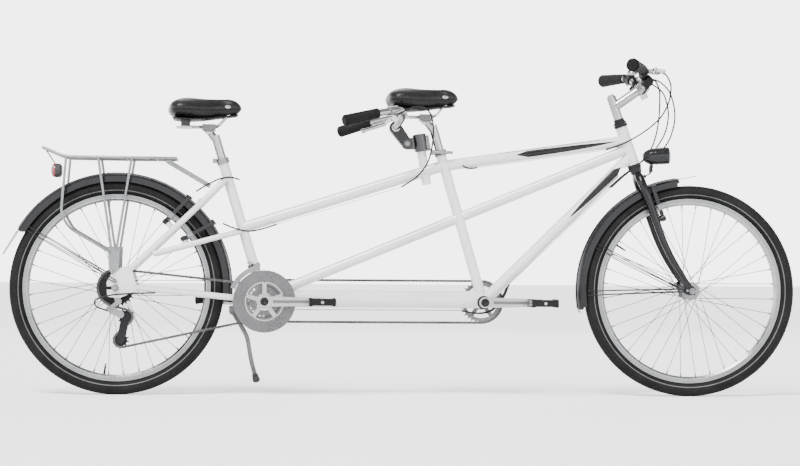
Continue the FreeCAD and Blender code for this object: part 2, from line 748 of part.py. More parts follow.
def brake_arm(name, side):
    """One cantilever arm with its bush, pad stud and pad."""
    pivot, up, hub = BRAKES[name]
    out = brake_out(name)
    y = V(0, side * ARM_Y, 0)
    side_v = V(0, side, 0)
    foot = pivot + y
    bush = rod(foot - out * 7, foot + out * 7, 8.5)
    outline = [(-5, -9), (6, -9), (7, 30), (5, ARM_LONG - 10), (4, ARM_LONG), (-4, ARM_LONG),
               (-5, 60), (-5, 15)]
    corners = [foot + side_v * a + up * b - out * 5.5 for a, b in outline]
    arm = Part.Face(Part.makePolygon(corners + corners[:1])).extrude(out * 11)
    arm = arm.fuse(bush).removeSplitter().cut(rod(foot - out * 9, foot + out * 9, 4 + FIT))
    centre = at(hub[0], 0, hub[1])
    reach = pivot - centre
    b = reach.dot(up)
    t = -b + math.sqrt(b * b - reach.Length ** 2 + PAD_R ** 2)
    rim_point = pivot + up * t
    radial = (rim_point - centre).normalize()
    along = V(0, 1, 0).cross(radial)
    pad_centre = rim_point + V(0, side * 18.8, 0)
    pad = beam(pad_centre - along * 27, pad_centre + along * 27, 10, 11)
    stud = rod(rim_point + V(0, side * 23.8, 0), rim_point + V(0, side * 50, 0), 4)
    washer = rod(rim_point + V(0, side * 23.8, 0), rim_point + V(0, side * 33.5, 0), 8)
    stud = stud.fuse(washer).removeSplitter()
    top = foot + up * (ARM_LONG - 6)
    anchor = rod(top + out * 5.5, top + out * 11, 4.5)
    return [arm, stud.cut(arm), pad, anchor]


def brake_bosses(name):
    """The pivots' posts on the fork or the stays."""
    pivot, up, _ = BRAKES[name]
    out = brake_out(name)
    back = {"front": 22, "rear": 30, "drag": 22}[name]
    made = []
    for side in (1, -1):
        foot = pivot + V(0, side * ARM_Y, 0)
        made.append(rod(foot - out * back, foot - out * 7.3, 7).fuse(rod(foot - out * 8, foot + out * 9, 4)))
    return [m.removeSplitter() for m in made]


# ---- fork and steering ------------------------------------------------------------------------------
def fork():
    """A unicrown fork: a hollow steerer, two tapered blades and the dropouts."""
    steerer = rod(steer(-44), steer(HEAD_TUBE + 26), STEERER_R)
    collar = cone(steer(-30), steer(-12.3), 16, 20)
    blades = []
    for side in (1, -1):
        line = [(-32, 0, 0), (-38, 0, 14), (-50, 0, 30), (-72, 0.5, 40), (-110, 1.5, 43.5), (-180, 2.5, 45),
                (-250, 4, 47), (-320, 13, 50), (-375, 26, 52), (-412, 36, 53.5)]
        radii = [13.5, 13.5, 13.5, 13, 12.5, 12, 11, 9.5, 8, 7]
        points = [steer(s, f, y * side) for s, f, y in line]
        rings = []
        for k, p in enumerate(points):
            ahead = points[min(k + 1, len(points) - 1)] - points[max(k - 1, 0)]
            rings.append(Part.Wire(Part.Circle(p, ahead, radii[k]).toShape()))
        blades.append(Part.makeLoft(rings, True, False))
    inside = rod(steer(-30), steer(HEAD_TUBE + 30), 12.75)
    crown = fuse([steerer, collar]).cut(inside)
    column = fuse([steerer, collar])
    left = blades[0].cut(column)
    right = blades[1].cut(column).cut(blades[0])
    made = [crown, left, right]
    for side in (1, -1):
        x, z = FRONT_HUB
        outline = [(x - 13, z + 20), (x - 20, z + 34), (x - 30, z + 26), (x - 25, z + 4), (x - 20, z - 7),
                   (x - 10, z - 12), (x + 10, z - 12), (x + 13, z + 6), (x + 4, z + 16)]
        drop = plate(outline, side * HUB_HALF["front"], side * (HUB_HALF["front"] + 6))
        made.append(cut(drop, [across(x, z, side * 45, side * 60, 5.2)] + blades))
    return made + [cut(b, blades) for b in brake_bosses("front")]


def fork_fittings():
    """Front axle, headset nuts and the headlight's bracket."""
    shaft = axle(FRONT_HUB, HUB_HALF["front"], 17, 5)
    caps = across(WHEELBASE, TYRE_R, -66, -56, 10)
    nut = rod(steer(HEAD_TUBE + 9.3), steer(HEAD_TUBE + 17), 20)
    nut = nut.fuse(rod(steer(HEAD_TUBE + 17), steer(148), 16.5))
    nut = nut.removeSplitter().cut(rod(steer(HEAD_TUBE), steer(160), STEERER_R))
    cheeks = [beam(steer(-40, 43, y), steer(-20.5, 49, y), 2.6, 8) for y in (10.65, -10.65)]
    pin = rod(HEADLIGHT_PIVOT - V(0, 12, 0), HEADLIGHT_PIVOT + V(0, 12, 0), 2.5)
    strap = [beam(steer(-48, 14), steer(-42, 40), 23.9, 3), beam(steer(-43, 39), steer(-34, 44.5), 23.9, 3)]
    bolt = rod(steer(-46, 14), steer(-45, 24), 5)
    bracket = fuse(strap + cheeks + [pin, bolt])
    return [shaft.fuse(caps).removeSplitter(), nut, bracket]


def quill_stem():
    """A quill with a forward extension and the handlebar's clamp."""
    quill = rod(steer(60), steer(222), 12.7)
    skirt = rod(steer(148.2), steer(222), 14.3)
    cap = rod(steer(222), steer(228), 10)
    clamp = at(*CAPTAIN_BAR[0])
    arm = rod(steer(188, 0), clamp, 15)
    ring = rod(clamp - V(0, 25, 0), clamp + V(0, 25, 0), 20)
    ear = beam(clamp + V(0, 0, -12), clamp + V(10, 0, -34), 22, 20)
    whole = fuse([quill, skirt, cap, arm, ring, ear])
    return whole.cut(rod(clamp - V(0, 30, 0), clamp + V(0, 30, 0), 12.7))


def full_bar(points):
    """The bar's outer shape, for what clamps round it."""
    left = [at(x, y, z) for x, y, z in points]
    return bent([V(p.x, -p.y, p.z) for p in reversed(left[1:])] + left[1:], BAR_R)


def bar(points):
    """A mirrored handlebar of constant section with a thicker middle."""
    left = [at(x, y, z) for x, y, z in points]
    whole = [V(p.x, -p.y, p.z) for p in reversed(left[1:])] + left[1:]
    sleeve_ = rod(left[0] - V(0, 34, 0), left[0] + V(0, 34, 0), 12.7)
    return bent(whole, BAR_R).fuse(sleeve_).removeSplitter().cut(bent(whole, BAR_R - BAR_WALL))


def along_grip(points, share, side):
    """A point on the last run of a handlebar."""
    a, b = points[-2], points[-1]
    x, y, z = (a[k] + share * (b[k] - a[k]) for k in range(3))
    return at(x, side * y, z)


def grips(points, starts, r0, r1):
    made = []
    for side in (1, -1):
        a, b = along_grip(points, starts, side), along_grip(points, 1.03, side)
        body = cone(a, b, r0, r1)
        tip = rod(b, b + (b - a).normalize() * 4, r1 * 0.8)
        made.append(body.fuse(tip).removeSplitter().cut(full_bar(points)))
    return made


LEVER_PIVOT = (1640.0, 138.0, 995.0)
SHIFT_ROOT = (1606.0, 112.0, 974.0)
SHIFT_END = (1622.0, 108.0, 960.0)
STRIKER = (1573.0, 74.0, 1000.0)


def captain_controls():
    """Lever clamps and brackets, shifter pods and the bell's base."""
    made = []
    line = [at(*p) for p in CAPTAIN_BAR]
    outer_bar = full_bar(CAPTAIN_BAR)
    for side in (1, -1):
        flip = V(1, side, 1)

        def to(p):
            return V(p.x * flip.x, p.y * flip.y, p.z * flip.z)

        a, b = line[2], line[3]
        near = a + (b - a) * 0.52
        far = a + (b - a) * 0.84
        clamp = rod(to(near), to(far), 15.5)
        reach = beam(to(near * 0.5 + far * 0.5), to(at(1634, 138, 996)), 20, 13, V(0, 1, 0))
        ear = rod(to(at(1640, 138, 987)), to(at(1640, 138, 989.4)), 10).fuse(
            rod(to(at(1640, 138, 1000.6)), to(at(1640, 138, 1003)), 10))
        gap = block(1626, 1652, side * 126, side * 152, 989.4, 1000.6)
        yoke = block(1624, 1642, side * 128, side * 148, 987, 1003).cut(gap)
        pin = rod(to(at(1640, 138, 985.5)), to(at(1640, 138, 1004)), 3)
        barrel = rod(to(at(1632, 131, 996)), to(at(1652, 118, 996)), 4.5)
        body = fuse([clamp, reach.cut(gap), ear, yoke, pin, barrel.cut(gap)])
        made.append(body.removeSplitter().cut(outer_bar))
        start = a + (b - a) * 0.12
        end = a + (b - a) * 0.46
        pod = rod(to(start), to(end), 15).fuse(rod(to(at(*SHIFT_ROOT)), to(at(*SHIFT_END)), 19))
        made.append(biggest(pod.removeSplitter().cut(outer_bar).cut(made[-1])))
    holder = rod(at(1612, 62, 967.4), at(1609, 76, 974), 14).cut(outer_bar)
    plinth, top = at(1600, 72, 1001), at(1598.5, 72.5, 1005)
    base = rod(at(1606, 70, 985), plinth, 5).fuse(rod(plinth, top, 15))
    dome = Part.makeSphere(18, top, top - plinth, 0, 90)
    x, y, z = STRIKER
    shelf = beam(at(1602, 71.5, z - 8), at(x - 4, y, z - 8), 8, 3)
    post = rod(at(x, y, z - 9), at(x, y, z + 6), 1.5)
    bell = fuse([holder, base.cut(outer_bar), dome, shelf, post])
    return made + [bell]


def hand_lever(pivot, bend, tip, axis):
    """A brake lever blade with its pivot eye."""
    eye = rod(pivot - axis * 5.3, pivot + axis * 5.3, 9)
    first = beam(pivot, bend, 9, 10, axis.cross(bend - pivot).normalize())
    second = cone(bend - (tip - bend).normalize() * 3, tip, 6.2, 5.2)
    ball = Part.makeSphere(7.5, tip)
    return fuse([eye, first, second, ball]).cut(rod(pivot - axis * 9, pivot + axis * 9, 3 + FIT))


def captain_lever(side):
    pivot = at(LEVER_PIVOT[0], side * LEVER_PIVOT[1], LEVER_PIVOT[2])
    bend = at(1655, side * 168, 994)
    tip = at(1613, side * 258, 990)
    return hand_lever(pivot, bend, tip, V(0, 0, 1))


def shift_lever(side):
    """A thumb lever under its pod."""
    a, b = (at(p[0], side * p[1], p[2]) for p in (SHIFT_ROOT, SHIFT_END))
    out = (b - a).normalize()
    root = b + out * 0.3
    way = V(-24, side * 10, -30)
    way = way - out * way.dot(out)
    disc = rod(root, root + out * 4, 12)
    paddle = beam(root + out * 2, root + out * 2 + way, 12, 4, out.cross(way))
    return disc.fuse(paddle).removeSplitter()


def bell_striker():
    """The bell's little hammer on its thumb lever."""
    root = at(*STRIKER)
    pad = beam(root, root + V(-12, 8, 2), 9, 4)
    eye = rod(root - V(0, 0, 4), root + V(0, 0, 4), 4)
    return eye.fuse(pad).removeSplitter().cut(rod(root - V(0, 0, 9), root + V(0, 0, 9), 1.5 + FIT))


def lathe(start, way, outline):
    """A solid of revolution about way from (distance, radius) points, with both ends on the axis."""
    way = V(way).normalize()
    side = way.cross(V(0, 1, 0))
    if side.Length < 0.1:
        side = way.cross(V(1, 0, 0))
    side.normalize()
    points = [start + way * d + side * r for d, r in outline]
    face = Part.Face(Part.makePolygon(points + points[:1]))
    return face.revolve(start, way, 360)


HEADLIGHT_PIVOT = steer(-24, 49)


def headlight():
    """A bullet-shaped lamp with its lens, on a pivot lug."""
    way = V(math.cos(math.radians(4)), 0, math.sin(math.radians(4)))
    start = at(1619, 0, 741)
    shell = lathe(start, way, [(0, 0), (2, 9), (8, 17), (20, 23.5), (40, 26), (82, 26.5), (82, 0)])
    lens = lathe(start + way * 82, way, [(0, 0), (0, 24.5), (2, 24.5), (5, 15), (6, 0)])
    lug = rod(HEADLIGHT_PIVOT - V(0, 9, 0), HEADLIGHT_PIVOT + V(0, 9, 0), 6)
    neck = beam(HEADLIGHT_PIVOT, HEADLIGHT_PIVOT + V(2, 0, 14), 12, 9)
    bore = rod(HEADLIGHT_PIVOT - V(0, 12, 0), HEADLIGHT_PIVOT + V(0, 12, 0), 2.5 + FIT)
    return [fuse([shell, lug, neck]).cut(bore), lens]


# ---- fenders, rack, lamps ---------------------------------------------------------------------------
def fender(centre, start, end):
    """A rolled mudguard from start to end degrees about the hub."""
    def point(y, r):
        return ring_pos(centre, r, start, y)

    def line(a, b):
        return Part.LineSegment(point(*a), point(*b)).toShape()

    half, top = FENDER_HALF, FENDER_R
    edges = [
        Part.Arc(point(-half, top - 10), point(0, top), point(half, top - 10)).toShape(),
        Part.Arc(point(-half + 1.8, top - 10.6), point(0, top - 2), point(half - 1.8, top - 10.6)).toShape(),
    ]
    for s in (1, -1):
        edges.append(line((s * half, top - 10), (s * half, top - 17)))
        edges.append(line((s * half, top - 17), (s * (half - 1.8), top - 17)))
        edges.append(line((s * (half - 1.8), top - 17), (s * (half - 1.8), top - 10.6)))
    face = Part.Face(Part.Wire(Part.__sortEdges__(edges)))
    return face.revolve(at(centre[0], 0, centre[1]), V(0, -1, 0), end - start)


def pointed_end(centre, at_degrees, tip):
    """A flap from a mudguard's end to a narrower tip."""
    start = ring_pos(centre, FENDER_R - 4, at_degrees)
    over = (tip - start).cross(V(0, 1, 0)).normalize()
    outlines = []
    for place, half in ((start, FENDER_HALF - 1), (tip, 14)):
        corners = [place + V(0, i * half, 0) + over * j for i, j in ((1, 1), (-1, 1), (-1, -1), (1, -1))]
        outlines.append(Part.makePolygon(corners + corners[:1]))
    return Part.makeLoft(outlines, True, True)


def wire_stays(foot, y, anchor):
    """Two thin rods a side from the mudguard to the dropout's bolt."""
    made = []
    way = V(anchor[0] - foot[0], 0, anchor[1] - foot[1]).normalize()
    over = way.cross(V(0, 1, 0))
    for side in (1, -1):
        for s in (1, -1):
            a = at(foot[0], side * y, foot[1]) + over * (s * 4)
            b = at(anchor[0], side * (FENDER_HALF + 2.2), anchor[1]) + over * (s * 6.5)
            made.append(rod(a, b, 1.5))
    return made


def stay_bolts(foot, base, top):
    """A bolt a side that holds the stays against the dropout."""
    made = []
    for side in (1, -1):
        shank = across(foot[0], foot[1], side * base, side * top, 2.3)
        head = across(foot[0], foot[1], side * (top - 2.4), side * top, 5.5)
        made.append(shank.fuse(head).removeSplitter())
    return made


def rear_fender():
    made = [fender(REAR_HUB, -7, 150)]
    made.append(pointed_end(REAR_HUB, 150.4, at(-347, 0, 427)))
    foot = (0, TYRE_R + 20)
    made += wire_stays(foot, 79.5, (-268, 505)) + stay_bolts(foot, 73.5, 83.6)
    angle = math.degrees(math.atan2(SEAT_BRIDGE[1] - TYRE_R, SEAT_BRIDGE[0]))
    lug = rod(ring_pos(REAR_HUB, FENDER_R - 1.5, angle), ring_pos(REAR_HUB, FENDER_R + 16, angle), 5)
    made.append(lug.cut(across(*SEAT_BRIDGE, -40, 40, BRIDGE_R)).cut(made[0]))
    return made


def front_fender():
    made = [fender(FRONT_HUB, 96, 190)]
    made.append(pointed_end(FRONT_HUB, 95.6, ring_pos(FRONT_HUB, FENDER_R + 6, 86.5)))
    made.append(pointed_end(FRONT_HUB, 190.4, at(WHEELBASE - 342, 0, 257)))
    foot = (WHEELBASE - 16, TYRE_R + 2)
    made += wire_stays(foot, 57.7, (WHEELBASE - 292, 464))
    made += wire_stays(foot, 60.9, (WHEELBASE - 318, 318)) + stay_bolts(foot, 56, 65)
    post = rod(ring_pos(FRONT_HUB, FENDER_R - 1.5, 114.5), ring_pos(FRONT_HUB, FENDER_R + 33, 114.5), 6)
    made.append(post.cut(made[0]))
    return made


def rear_rack():
    """A tubular carrier with three legs a side and two flat struts to the seat stays."""
    made = []
    deck, r = 722.0, 5.0
    hoop = [at(178, -50, deck), at(60, -62, deck), at(-158, -62, deck + 2), at(-222, -52, 751)]
    right = bent(hoop, r, 0.3)
    left = mirror(right)
    made += [right, left]
    ends = [across(178, deck, -50, 50, r), across(-222, 751, -52, 52, r)]
    made += [e.cut(right).cut(left) for e in ends]
    for x in (120, 30, -60, -150):
        y = 62 if x < 60 else 56
        made.append(cut(across(x, deck - 0.5, -y, y, 4), [right, left]))
    for y in (-20, 20):
        bars = [across(x, deck - 0.5, -70, 70, 4) for x in (120, 30, -60, -150)] + ends
        made += cut(rod(at(178, y, deck - 0.5), at(-150, y, deck - 0.5), 3.5), bars).Solids
    for side in (1, -1):
        y = 68 * side
        lower = [at(-152, y, 722), at(-166, y, 550), at(-141, y, 507), at(-14, side * 77.5, 433)]
        legs = [bent(lower, 4, 0.4)]
        for top, foot in (((-55, y, 722), (-13, side * 77.5, 447)), ((46, y, 722), (2, side * 77.5, 440))):
            legs.append(rod(at(*top), at(*foot), 4))
        for k, leg in enumerate(legs):
            made.append(cut(leg, [right, left] + legs[:k]))
        foot_plate = plate([(-24, 452), (12, 452), (10, 384), (-10, 366), (-20, 384)], side * 74, side * 77)
        made.append(cut(foot_plate, legs))
        strut = beam(at(150, side * 44, 716), at(281, side * 25, 640), 3, 14)
        made.append(cut(strut, [right, left]))
    return [s for m in made for s in m.Solids if s.Volume > 100]


def tail_light():
    lens = lathe(at(-190, 0, 684), V(-1, 0, 0), [(0, 0), (0, 22), (6, 21), (12, 13), (14, 0)])
    case = lathe(at(-190, 0, 684), V(1, 0, 0), [(0, 0), (0, 22), (14, 21), (20, 15), (20, 0)])
    hanger = beam(at(-182, 0, 690), at(-221, 0, 750), 16, 3).cut(across(-222, 751, -52, 52, 5))
    return [lens, fuse([case, biggest(hanger.cut(lens))])]


# ---- saddles and seatposts --------------------------------------------------------------------------
SADDLE_SECTIONS = [(-128, 62, 82, 44), (-116, 88, 91, 36), (-70, 96, 95, 31), (-15, 66, 92, 33),
                   (35, 36, 91, 40), (80, 27, 93, 47), (104, 16, 86, 55)]


def saddle_cover(rider):
    """The padded top as a plain solid of oval sections."""
    x0, z0 = SADDLE_CLAMP[rider]
    rings = []
    for dx, half, top, low in SADDLE_SECTIONS:
        c = at(x0 + dx, 0, z0 + (top + low) / 2)
        tall = (top - low) / 2
        oval = Part.Ellipse(c + V(0, half, 0), c + V(0, 0, tall), c)
        rings.append(Part.Wire(oval.toShape()))
    return Part.makeLoft(rings, True, False)


def saddle_rails(rider):
    """Two steel rails, the elastomer blocks and their rear plate."""
    x0, z0 = SADDLE_CLAMP[rider]
    made = []
    for side in (1, -1):
        line = [at(x0 - 84, side * 30, z0 + 24), at(x0 - 60, side * 25, z0 + 8),
                at(x0 + 26, side * 22, z0 + 8), at(x0 + 52, side * 18, z0 + 38),
                at(x0 + 70, side * 10, z0 + 50)]
        made.append(bent(line, 3.5, 0.35))
        made.append(rod(at(x0 - 72, side * 30, z0 + 8), at(x0 - 72, side * 33, z0 + 36), 13))
    rear = block(x0 - 98, x0 - 52, -38, 38, z0 + 4, z0 + 9)
    return fuse(made + [rear])


def seatpost(rider):
    """A post with its clamp head under the rails."""
    x0, z0 = SADDLE_CLAMP[rider]
    top = z0 - 18
    low = SEAT_TOP[rider][1] - 90
    post = rod(at(seat_axis(rider, low), 0, low), at(seat_axis(rider, top), 0, top), SEATPOST_R)
    neck = cone(at(seat_axis(rider, top - 16), 0, top - 16), at(x0, 0, z0 - 4), 12.4, 10.6)
    head = rod(at(x0, -27, z0), at(x0, 27, z0), 15)
    jaw = block(x0 - 20, x0 + 20, -30, 30, z0 - 3, z0 + 16)
    return fuse([post, neck, head, jaw])


def seat_collars():
    """The captain's quick-release collar and the stoker's bolted one."""
    made = []
    for rider in ("captain", "stoker"):
        x, z = SEAT_TOP[rider]
        band = tube_band(rider, z - 4, 15, 19.5, SEAT_TUBE_R)
        cap = tube_band(rider, z + 3.6, 2.4, 19.5, SEATPOST_R + 0.4)
        ears = block(x - 30, x - 12, -9, 9, z - 9, z + 4).cut(tube_band(rider, z - 4, 60, SEAT_TUBE_R, 0.1))
        ears = ears.cut(block(x - 31, x - 10, -1.5, 1.5, z - 20, z + 20))
        below, above = (at(seat_axis(rider, z + d), 0, z + d) for d in (-30, 30))
        ears = ears.cut(rod(below, above, SEAT_TUBE_R))
        bolt = across(x - 23, z - 2.5, -20, 14, 3)
        made.append(fuse([band, cap, ears, bolt]))
    return made


SEAT_LEVER = (SEAT_TOP["captain"][0] - 23, -28.0, SEAT_TOP["captain"][1] - 2.5)
FRONT_LEVER = (WHEELBASE, 75.0, TYRE_R)


def cam_lever(pivot, bend, tip):
    """A cam lever lying along its clamp; it swings out about an axis square to the skewer."""
    axis = (tip - pivot).cross(V(0, 1, 0)).normalize()
    cam = rod(pivot - axis * 7, pivot + axis * 7, 7)
    return fuse([cam, bent([pivot, bend, tip], 4.5, 0.4)])


def seat_lever():
    x, y, z = SEAT_LEVER
    return cam_lever(at(x, y, z), at(x + 26, y - 3, z), at(x + 60, y - 1, z))


def front_lever():
    """The front wheel's quick-release lever, on the left."""
    x, y, z = FRONT_LEVER
    return cam_lever(at(x, y, z), at(x - 20, y + 3, z + 10), at(x - 48, y, z + 24))


# ---- stoker's cockpit -------------------------------------------------------------------------------
def stoker_clamp():
    """The clamp on the post, with its bolts and the lug for the tilting arm."""
    def on_post(z):
        return at(948 - 25 * (z - 650) / 156, 0, z)

    body = rod(on_post(752), on_post(805), 20.5)
    lug = link_plate((on_post(780).x - REAR_X, 778), STOKER_PIVOT, 20, 17, -8, 8)
    jaw = beam(on_post(755) + V(22, 0, 0), on_post(802) + V(22, 0, 0), 17, 14)
    bolts = [rod(on_post(z) + V(22, -15, 0), on_post(z) + V(22, 15, 0), 5) for z in (766, 791)]
    whole = fuse([body, lug, jaw] + bolts)
    whole = whole.cut(rod(on_post(740), on_post(830), 14.3))
    whole = whole.cut(beam(on_post(745) + V(24, 0, 0), on_post(812) + V(24, 0, 0), 2, 26))
    pin = across(*STOKER_PIVOT, -22, 22, 5)
    heads = across(*STOKER_PIVOT, -25, -20.3, 12).fuse(across(*STOKER_PIVOT, 20.3, 25, 12))
    return [fuse([whole, pin, heads])]


def stoker_stem():
    """The tilting arm from the pivot to the stoker's bar clamp."""
    bar_at = STOKER_BAR[0]
    sides = []
    for side in (1, -1):
        sides.append(link_plate(STOKER_PIVOT, (bar_at[0], bar_at[2]), 16, 19, side * 8.3, side * 20))
    clamp = across(bar_at[0], bar_at[2], -24, 24, 19.5)
    neck = link_plate((864, 805), (bar_at[0], bar_at[2]), 13, 19, -10, 10)
    whole = fuse(sides + [clamp, neck]).cut(across(bar_at[0], bar_at[2], -40, 40, 12.7))
    return whole.cut(across(*STOKER_PIVOT, -40, 40, 5 + FIT))


def stoker_bar_point(share):
    a, b = STOKER_BAR[-3], STOKER_BAR[-2]
    return at(a[0] + share * (b[0] - a[0]), -(a[1] + share * (b[1] - a[1])), a[2] + share * (b[2] - a[2]))


STOKER_LEVER_PIVOT = (832.0, -206.0, 840.0)


def stoker_bar():
    """The bar with the drag-brake lever's clamp and bracket on its right side."""
    tube_ = bar(STOKER_BAR)
    clamp = rod(stoker_bar_point(0.25), stoker_bar_point(0.6), 15.5)
    pivot = at(*STOKER_LEVER_PIVOT)
    axis = stoker_lever_axis()
    arm = beam(stoker_bar_point(0.42), pivot + V(6, 2, 4), 14, 18, axis)
    cheeks = [rod(pivot + axis * s * 5.8, pivot + axis * s * 8.6, 9) for s in (1, -1)]
    pin = rod(pivot - axis * 9, pivot + axis * 9, 3)
    slot = rod(pivot - axis * 5.8, pivot + axis * 5.8, 13)
    bracket = fuse([clamp, arm] + [c for c in cheeks]).cut(slot).fuse(pin)
    return [tube_, bracket.removeSplitter().cut(full_bar(STOKER_BAR))]


def stoker_lever_axis():
    reach = at(742, -240, 800) - at(*STOKER_LEVER_PIVOT)
    return reach.cross(V(0, 0, 1)).normalize()


def stoker_lever():
    axis = stoker_lever_axis()
    return hand_lever(at(*STOKER_LEVER_PIVOT), at(806, -215, 822), at(742, -240, 800), axis)


# ---- cables -----------------------------------------------------------------------------------------
HOUSING_R = 2.4
INNER_R = 0.9


def cable_points():
    """Every cable's route, named; housings are thick, bare inner wires thin."""
    return {
        "steering": {
            "rear_brake": [(1650, -120, 996), (1672, -112, 990), (1692, -94, 960), (1692, -68, 912),
                           (1672, -44, 864), (1634, -31, 828), (1592, -25, 800), (1548, -19, 777),
                           (1503, -9, 762)],
            "front_brake": [(1650, 120, 996), (1685, 105, 990), (1716, 80, 958), (1727, 45, 905),
                            (1722, 5, 850), (1700, -25, 795), (1680, -38, 768)],
            "rear_shift": [(1618, -97, 976), (1641, -92, 975), (1658, -82, 946), (1662, -60, 886),
                           (1658, -46, 822), (1642, -38, 765), (1610, -28, 722), (1560, -26, 684),
                           (1518, -23.5, 645)],
            "front_shift": [(1618, 97, 976), (1658, 91, 980), (1698, 74, 950), (1712, 52, 885),
                            (1700, 40, 820), (1662, 36, 760), (1612, 30, 720), (1560, 26, 684),
                            (1518, 23.5, 645)],
        },
        "frame": {
            "top_end": [(1104, -8, 703.7), (1085, -9, 700.5), (1068, -12, 702), (1056, -14, 712)],
            "stoker_brake": [(846, -212, 852), (900, -196, 880), (945, -150, 872), (962, -100, 830),
                             (962, -60, 770), (950, -32, 715), (918, -23, 672), (868, -20, 641)],
            "drag_end": [(487, -20, 524), (440, -27, 508), (400, -33, 500), (352, -38, 512), (322, -40, 525)],
            "rear_end": [(372, -22, 660), (345, -30, 668), (310, -36, 662), (268, -39, 640), (240, -39, 622)],
            "shift_loop": [(120, -62, 312), (60, -80, 311), (-14, -93, 306), (-62, -96, 291),
                           (-58, -90, 270), (-24, -78, 258)],
            "turn_right": [(1204, -22, 345), (1186, -24, 300), (1150, -22, 258), (1104, -18, 252),
                           (1060, -14, 262)],
            "turn_left": [(1204, 22, 345), (1186, 24, 300), (1150, 22, 258), (1104, 18, 252),
                          (1060, 14, 262)],
        },
        "inner": {
            "stoker_run": [(866, -20, 640.5), (489, -20, 525)],
            "top_run": [(1500, -8, 761.5), (1106, -8, 704)],
            "down_right": [(1516, -23, 643), (1206, -21.6, 347)],
            "down_left": [(1516, 23, 643), (1206, 21.6, 347)],
            "boom_right": [(1058, -14, 262.4), (500, -14, 262.4)],
            "boom_left": [(1058, 14, 262.4), (500, 14, 262.4)],
        },
    }


def cables(group, r):
    made = []
    for name, points in cable_points()[group].items():
        line = [at(*p) for p in points]
        made.append(bent(line, r) if len(line) > 2 else rod(line[0], line[1], r))
    return made


def frame_fittings():
    """Collars, kickstand bracket, rear axle, derailleur clamp and the stoker's clamp."""
    made = seat_collars() + [stand_bracket()] + stoker_clamp()
    shaft = axle(REAR_HUB, HUB_HALF["rear"], 21, 1.2)
    nuts = [across(0, TYRE_R, s * 73.5, s * 80, 11) for s in (1, -1)]
    made.append(fuse([shaft] + nuts))
    band = tube_band("stoker", FD_TUBE, 14, 19.5, SEAT_TUBE_R)
    arm = beam(at(408, -19, 401), at(404, -37.6, 404), 14, 10)
    made.append(fuse([band, arm]))
    return made


def main():
    os.makedirs("parts", exist_ok=True)
    tubes, main_full = main_frame()
    save("main_frame", tubes)
    save("rear_triangle", rear_triangle(main_full))
    save("frame_bearings", frame_bearings())
    save("frame_fittings", frame_fittings())
    save("rear_fender", rear_fender())
    save("rear_rack", rear_rack())
    save("tail_light", tail_light())

    angle, count = taut_cage()
    loop = drive_loop(angle)
    upper, lower = turned(UPPER_PULLEY, angle), turned(LOWER_PULLEY, angle)
    print(f"cage turned {angle:.3f} degrees, {count} links, pulleys {upper} {lower}")
    ys = [-45.0, COG_Y, COG_Y, COG_Y]
    save("drive_chain", chain([loop.point(k * PITCH, ys) for k in range(count)]))
    save("derailleur_body", derailleur_body())
    save("derailleur_cage", derailleur_cage(upper, lower))
    save("upper_pulley", pulley(upper, loop, 2))
    save("lower_pulley", pulley(lower, loop, 3))
    save("front_derailleur_cage", shifting_cage())
    save("cassette", cassette(loop))

    timing = Loop([(CAPTAIN_BB, TIMING_TEETH, 1), (STOKER_BB, TIMING_TEETH, 1)])
    links_in_timing = 2 * TIMING_RUN + TIMING_TEETH
    timing_ys = [TIMING_Y, TIMING_Y]
    save("timing_chain", chain([timing.point(k * PITCH, timing_ys) for k in range(links_in_timing)]))
    save("captain_cranks", cranks(CAPTAIN_BB) + timing_ring(CAPTAIN_BB, 90))
    save("stoker_cranks", cranks(STOKER_BB))
    save("stoker_rings", chainrings(loop) + timing_ring(STOKER_BB, 90))
    for rider, bb in (("captain", CAPTAIN_BB), ("stoker", STOKER_BB)):
        save(f"{rider}_pedal_right", pedal(bb, -1, 1, 85))
        save(f"{rider}_pedal_left", pedal(bb, 1, -1, 78))

    for end, hub in (("front", FRONT_HUB), ("rear", REAR_HUB)):
        save(f"{end}_tyre", tyre(hub))
        save(f"{end}_rim", rim(hub))
    save("front_spokes", spokes(FRONT_HUB, (33, -33), 14))
    save("rear_spokes", spokes(REAR_HUB, (34, -21), 16))
    save("kickstand", kickstand())

    for name in BRAKES:
        for side, word in ((1, "left"), (-1, "right")):
            save(f"{name}_brake_{word}", brake_arm(name, side))

    save("fork", fork())
    save("fork_fittings", fork_fittings())
    save("quill_stem", quill_stem())
    save("handlebar", bar(CAPTAIN_BAR))
    save("captain_grips", grips(CAPTAIN_BAR, 0.10, 15, 20))
    save("captain_controls", captain_controls())
    save("captain_lever_right", captain_lever(-1))
    save("captain_lever_left", captain_lever(1))
    save("shift_lever_right", shift_lever(-1))
    save("shift_lever_left", shift_lever(1))
    save("bell_striker", bell_striker())
    save("headlight", headlight())
    save("front_fender", front_fender())
    save("front_quick_release", front_lever())
    save("seat_quick_release", seat_lever())

    for rider in ("captain", "stoker"):
        save(f"{rider}_saddle", saddle_cover(rider))
        post = seatpost(rider)
        save(f"{rider}_seatpost", [post, saddle_rails(rider).cut(post)])
    save("stoker_stem", stoker_stem())
    save("stoker_bar", stoker_bar())
    save("stoker_grips", grips(STOKER_BAR, 0.06, 15, 18))
    save("stoker_lever", stoker_lever())
    save("steering_cables", cables("steering", HOUSING_R))
    save("frame_cables", cables("frame", HOUSING_R) + cables("inner", INNER_R))


main()
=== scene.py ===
"""Looks for the tandem bicycle: materials, padded saddles, decals and small fittings on the CAD."""

import bpy
import math
from mathutils import Matrix, Vector


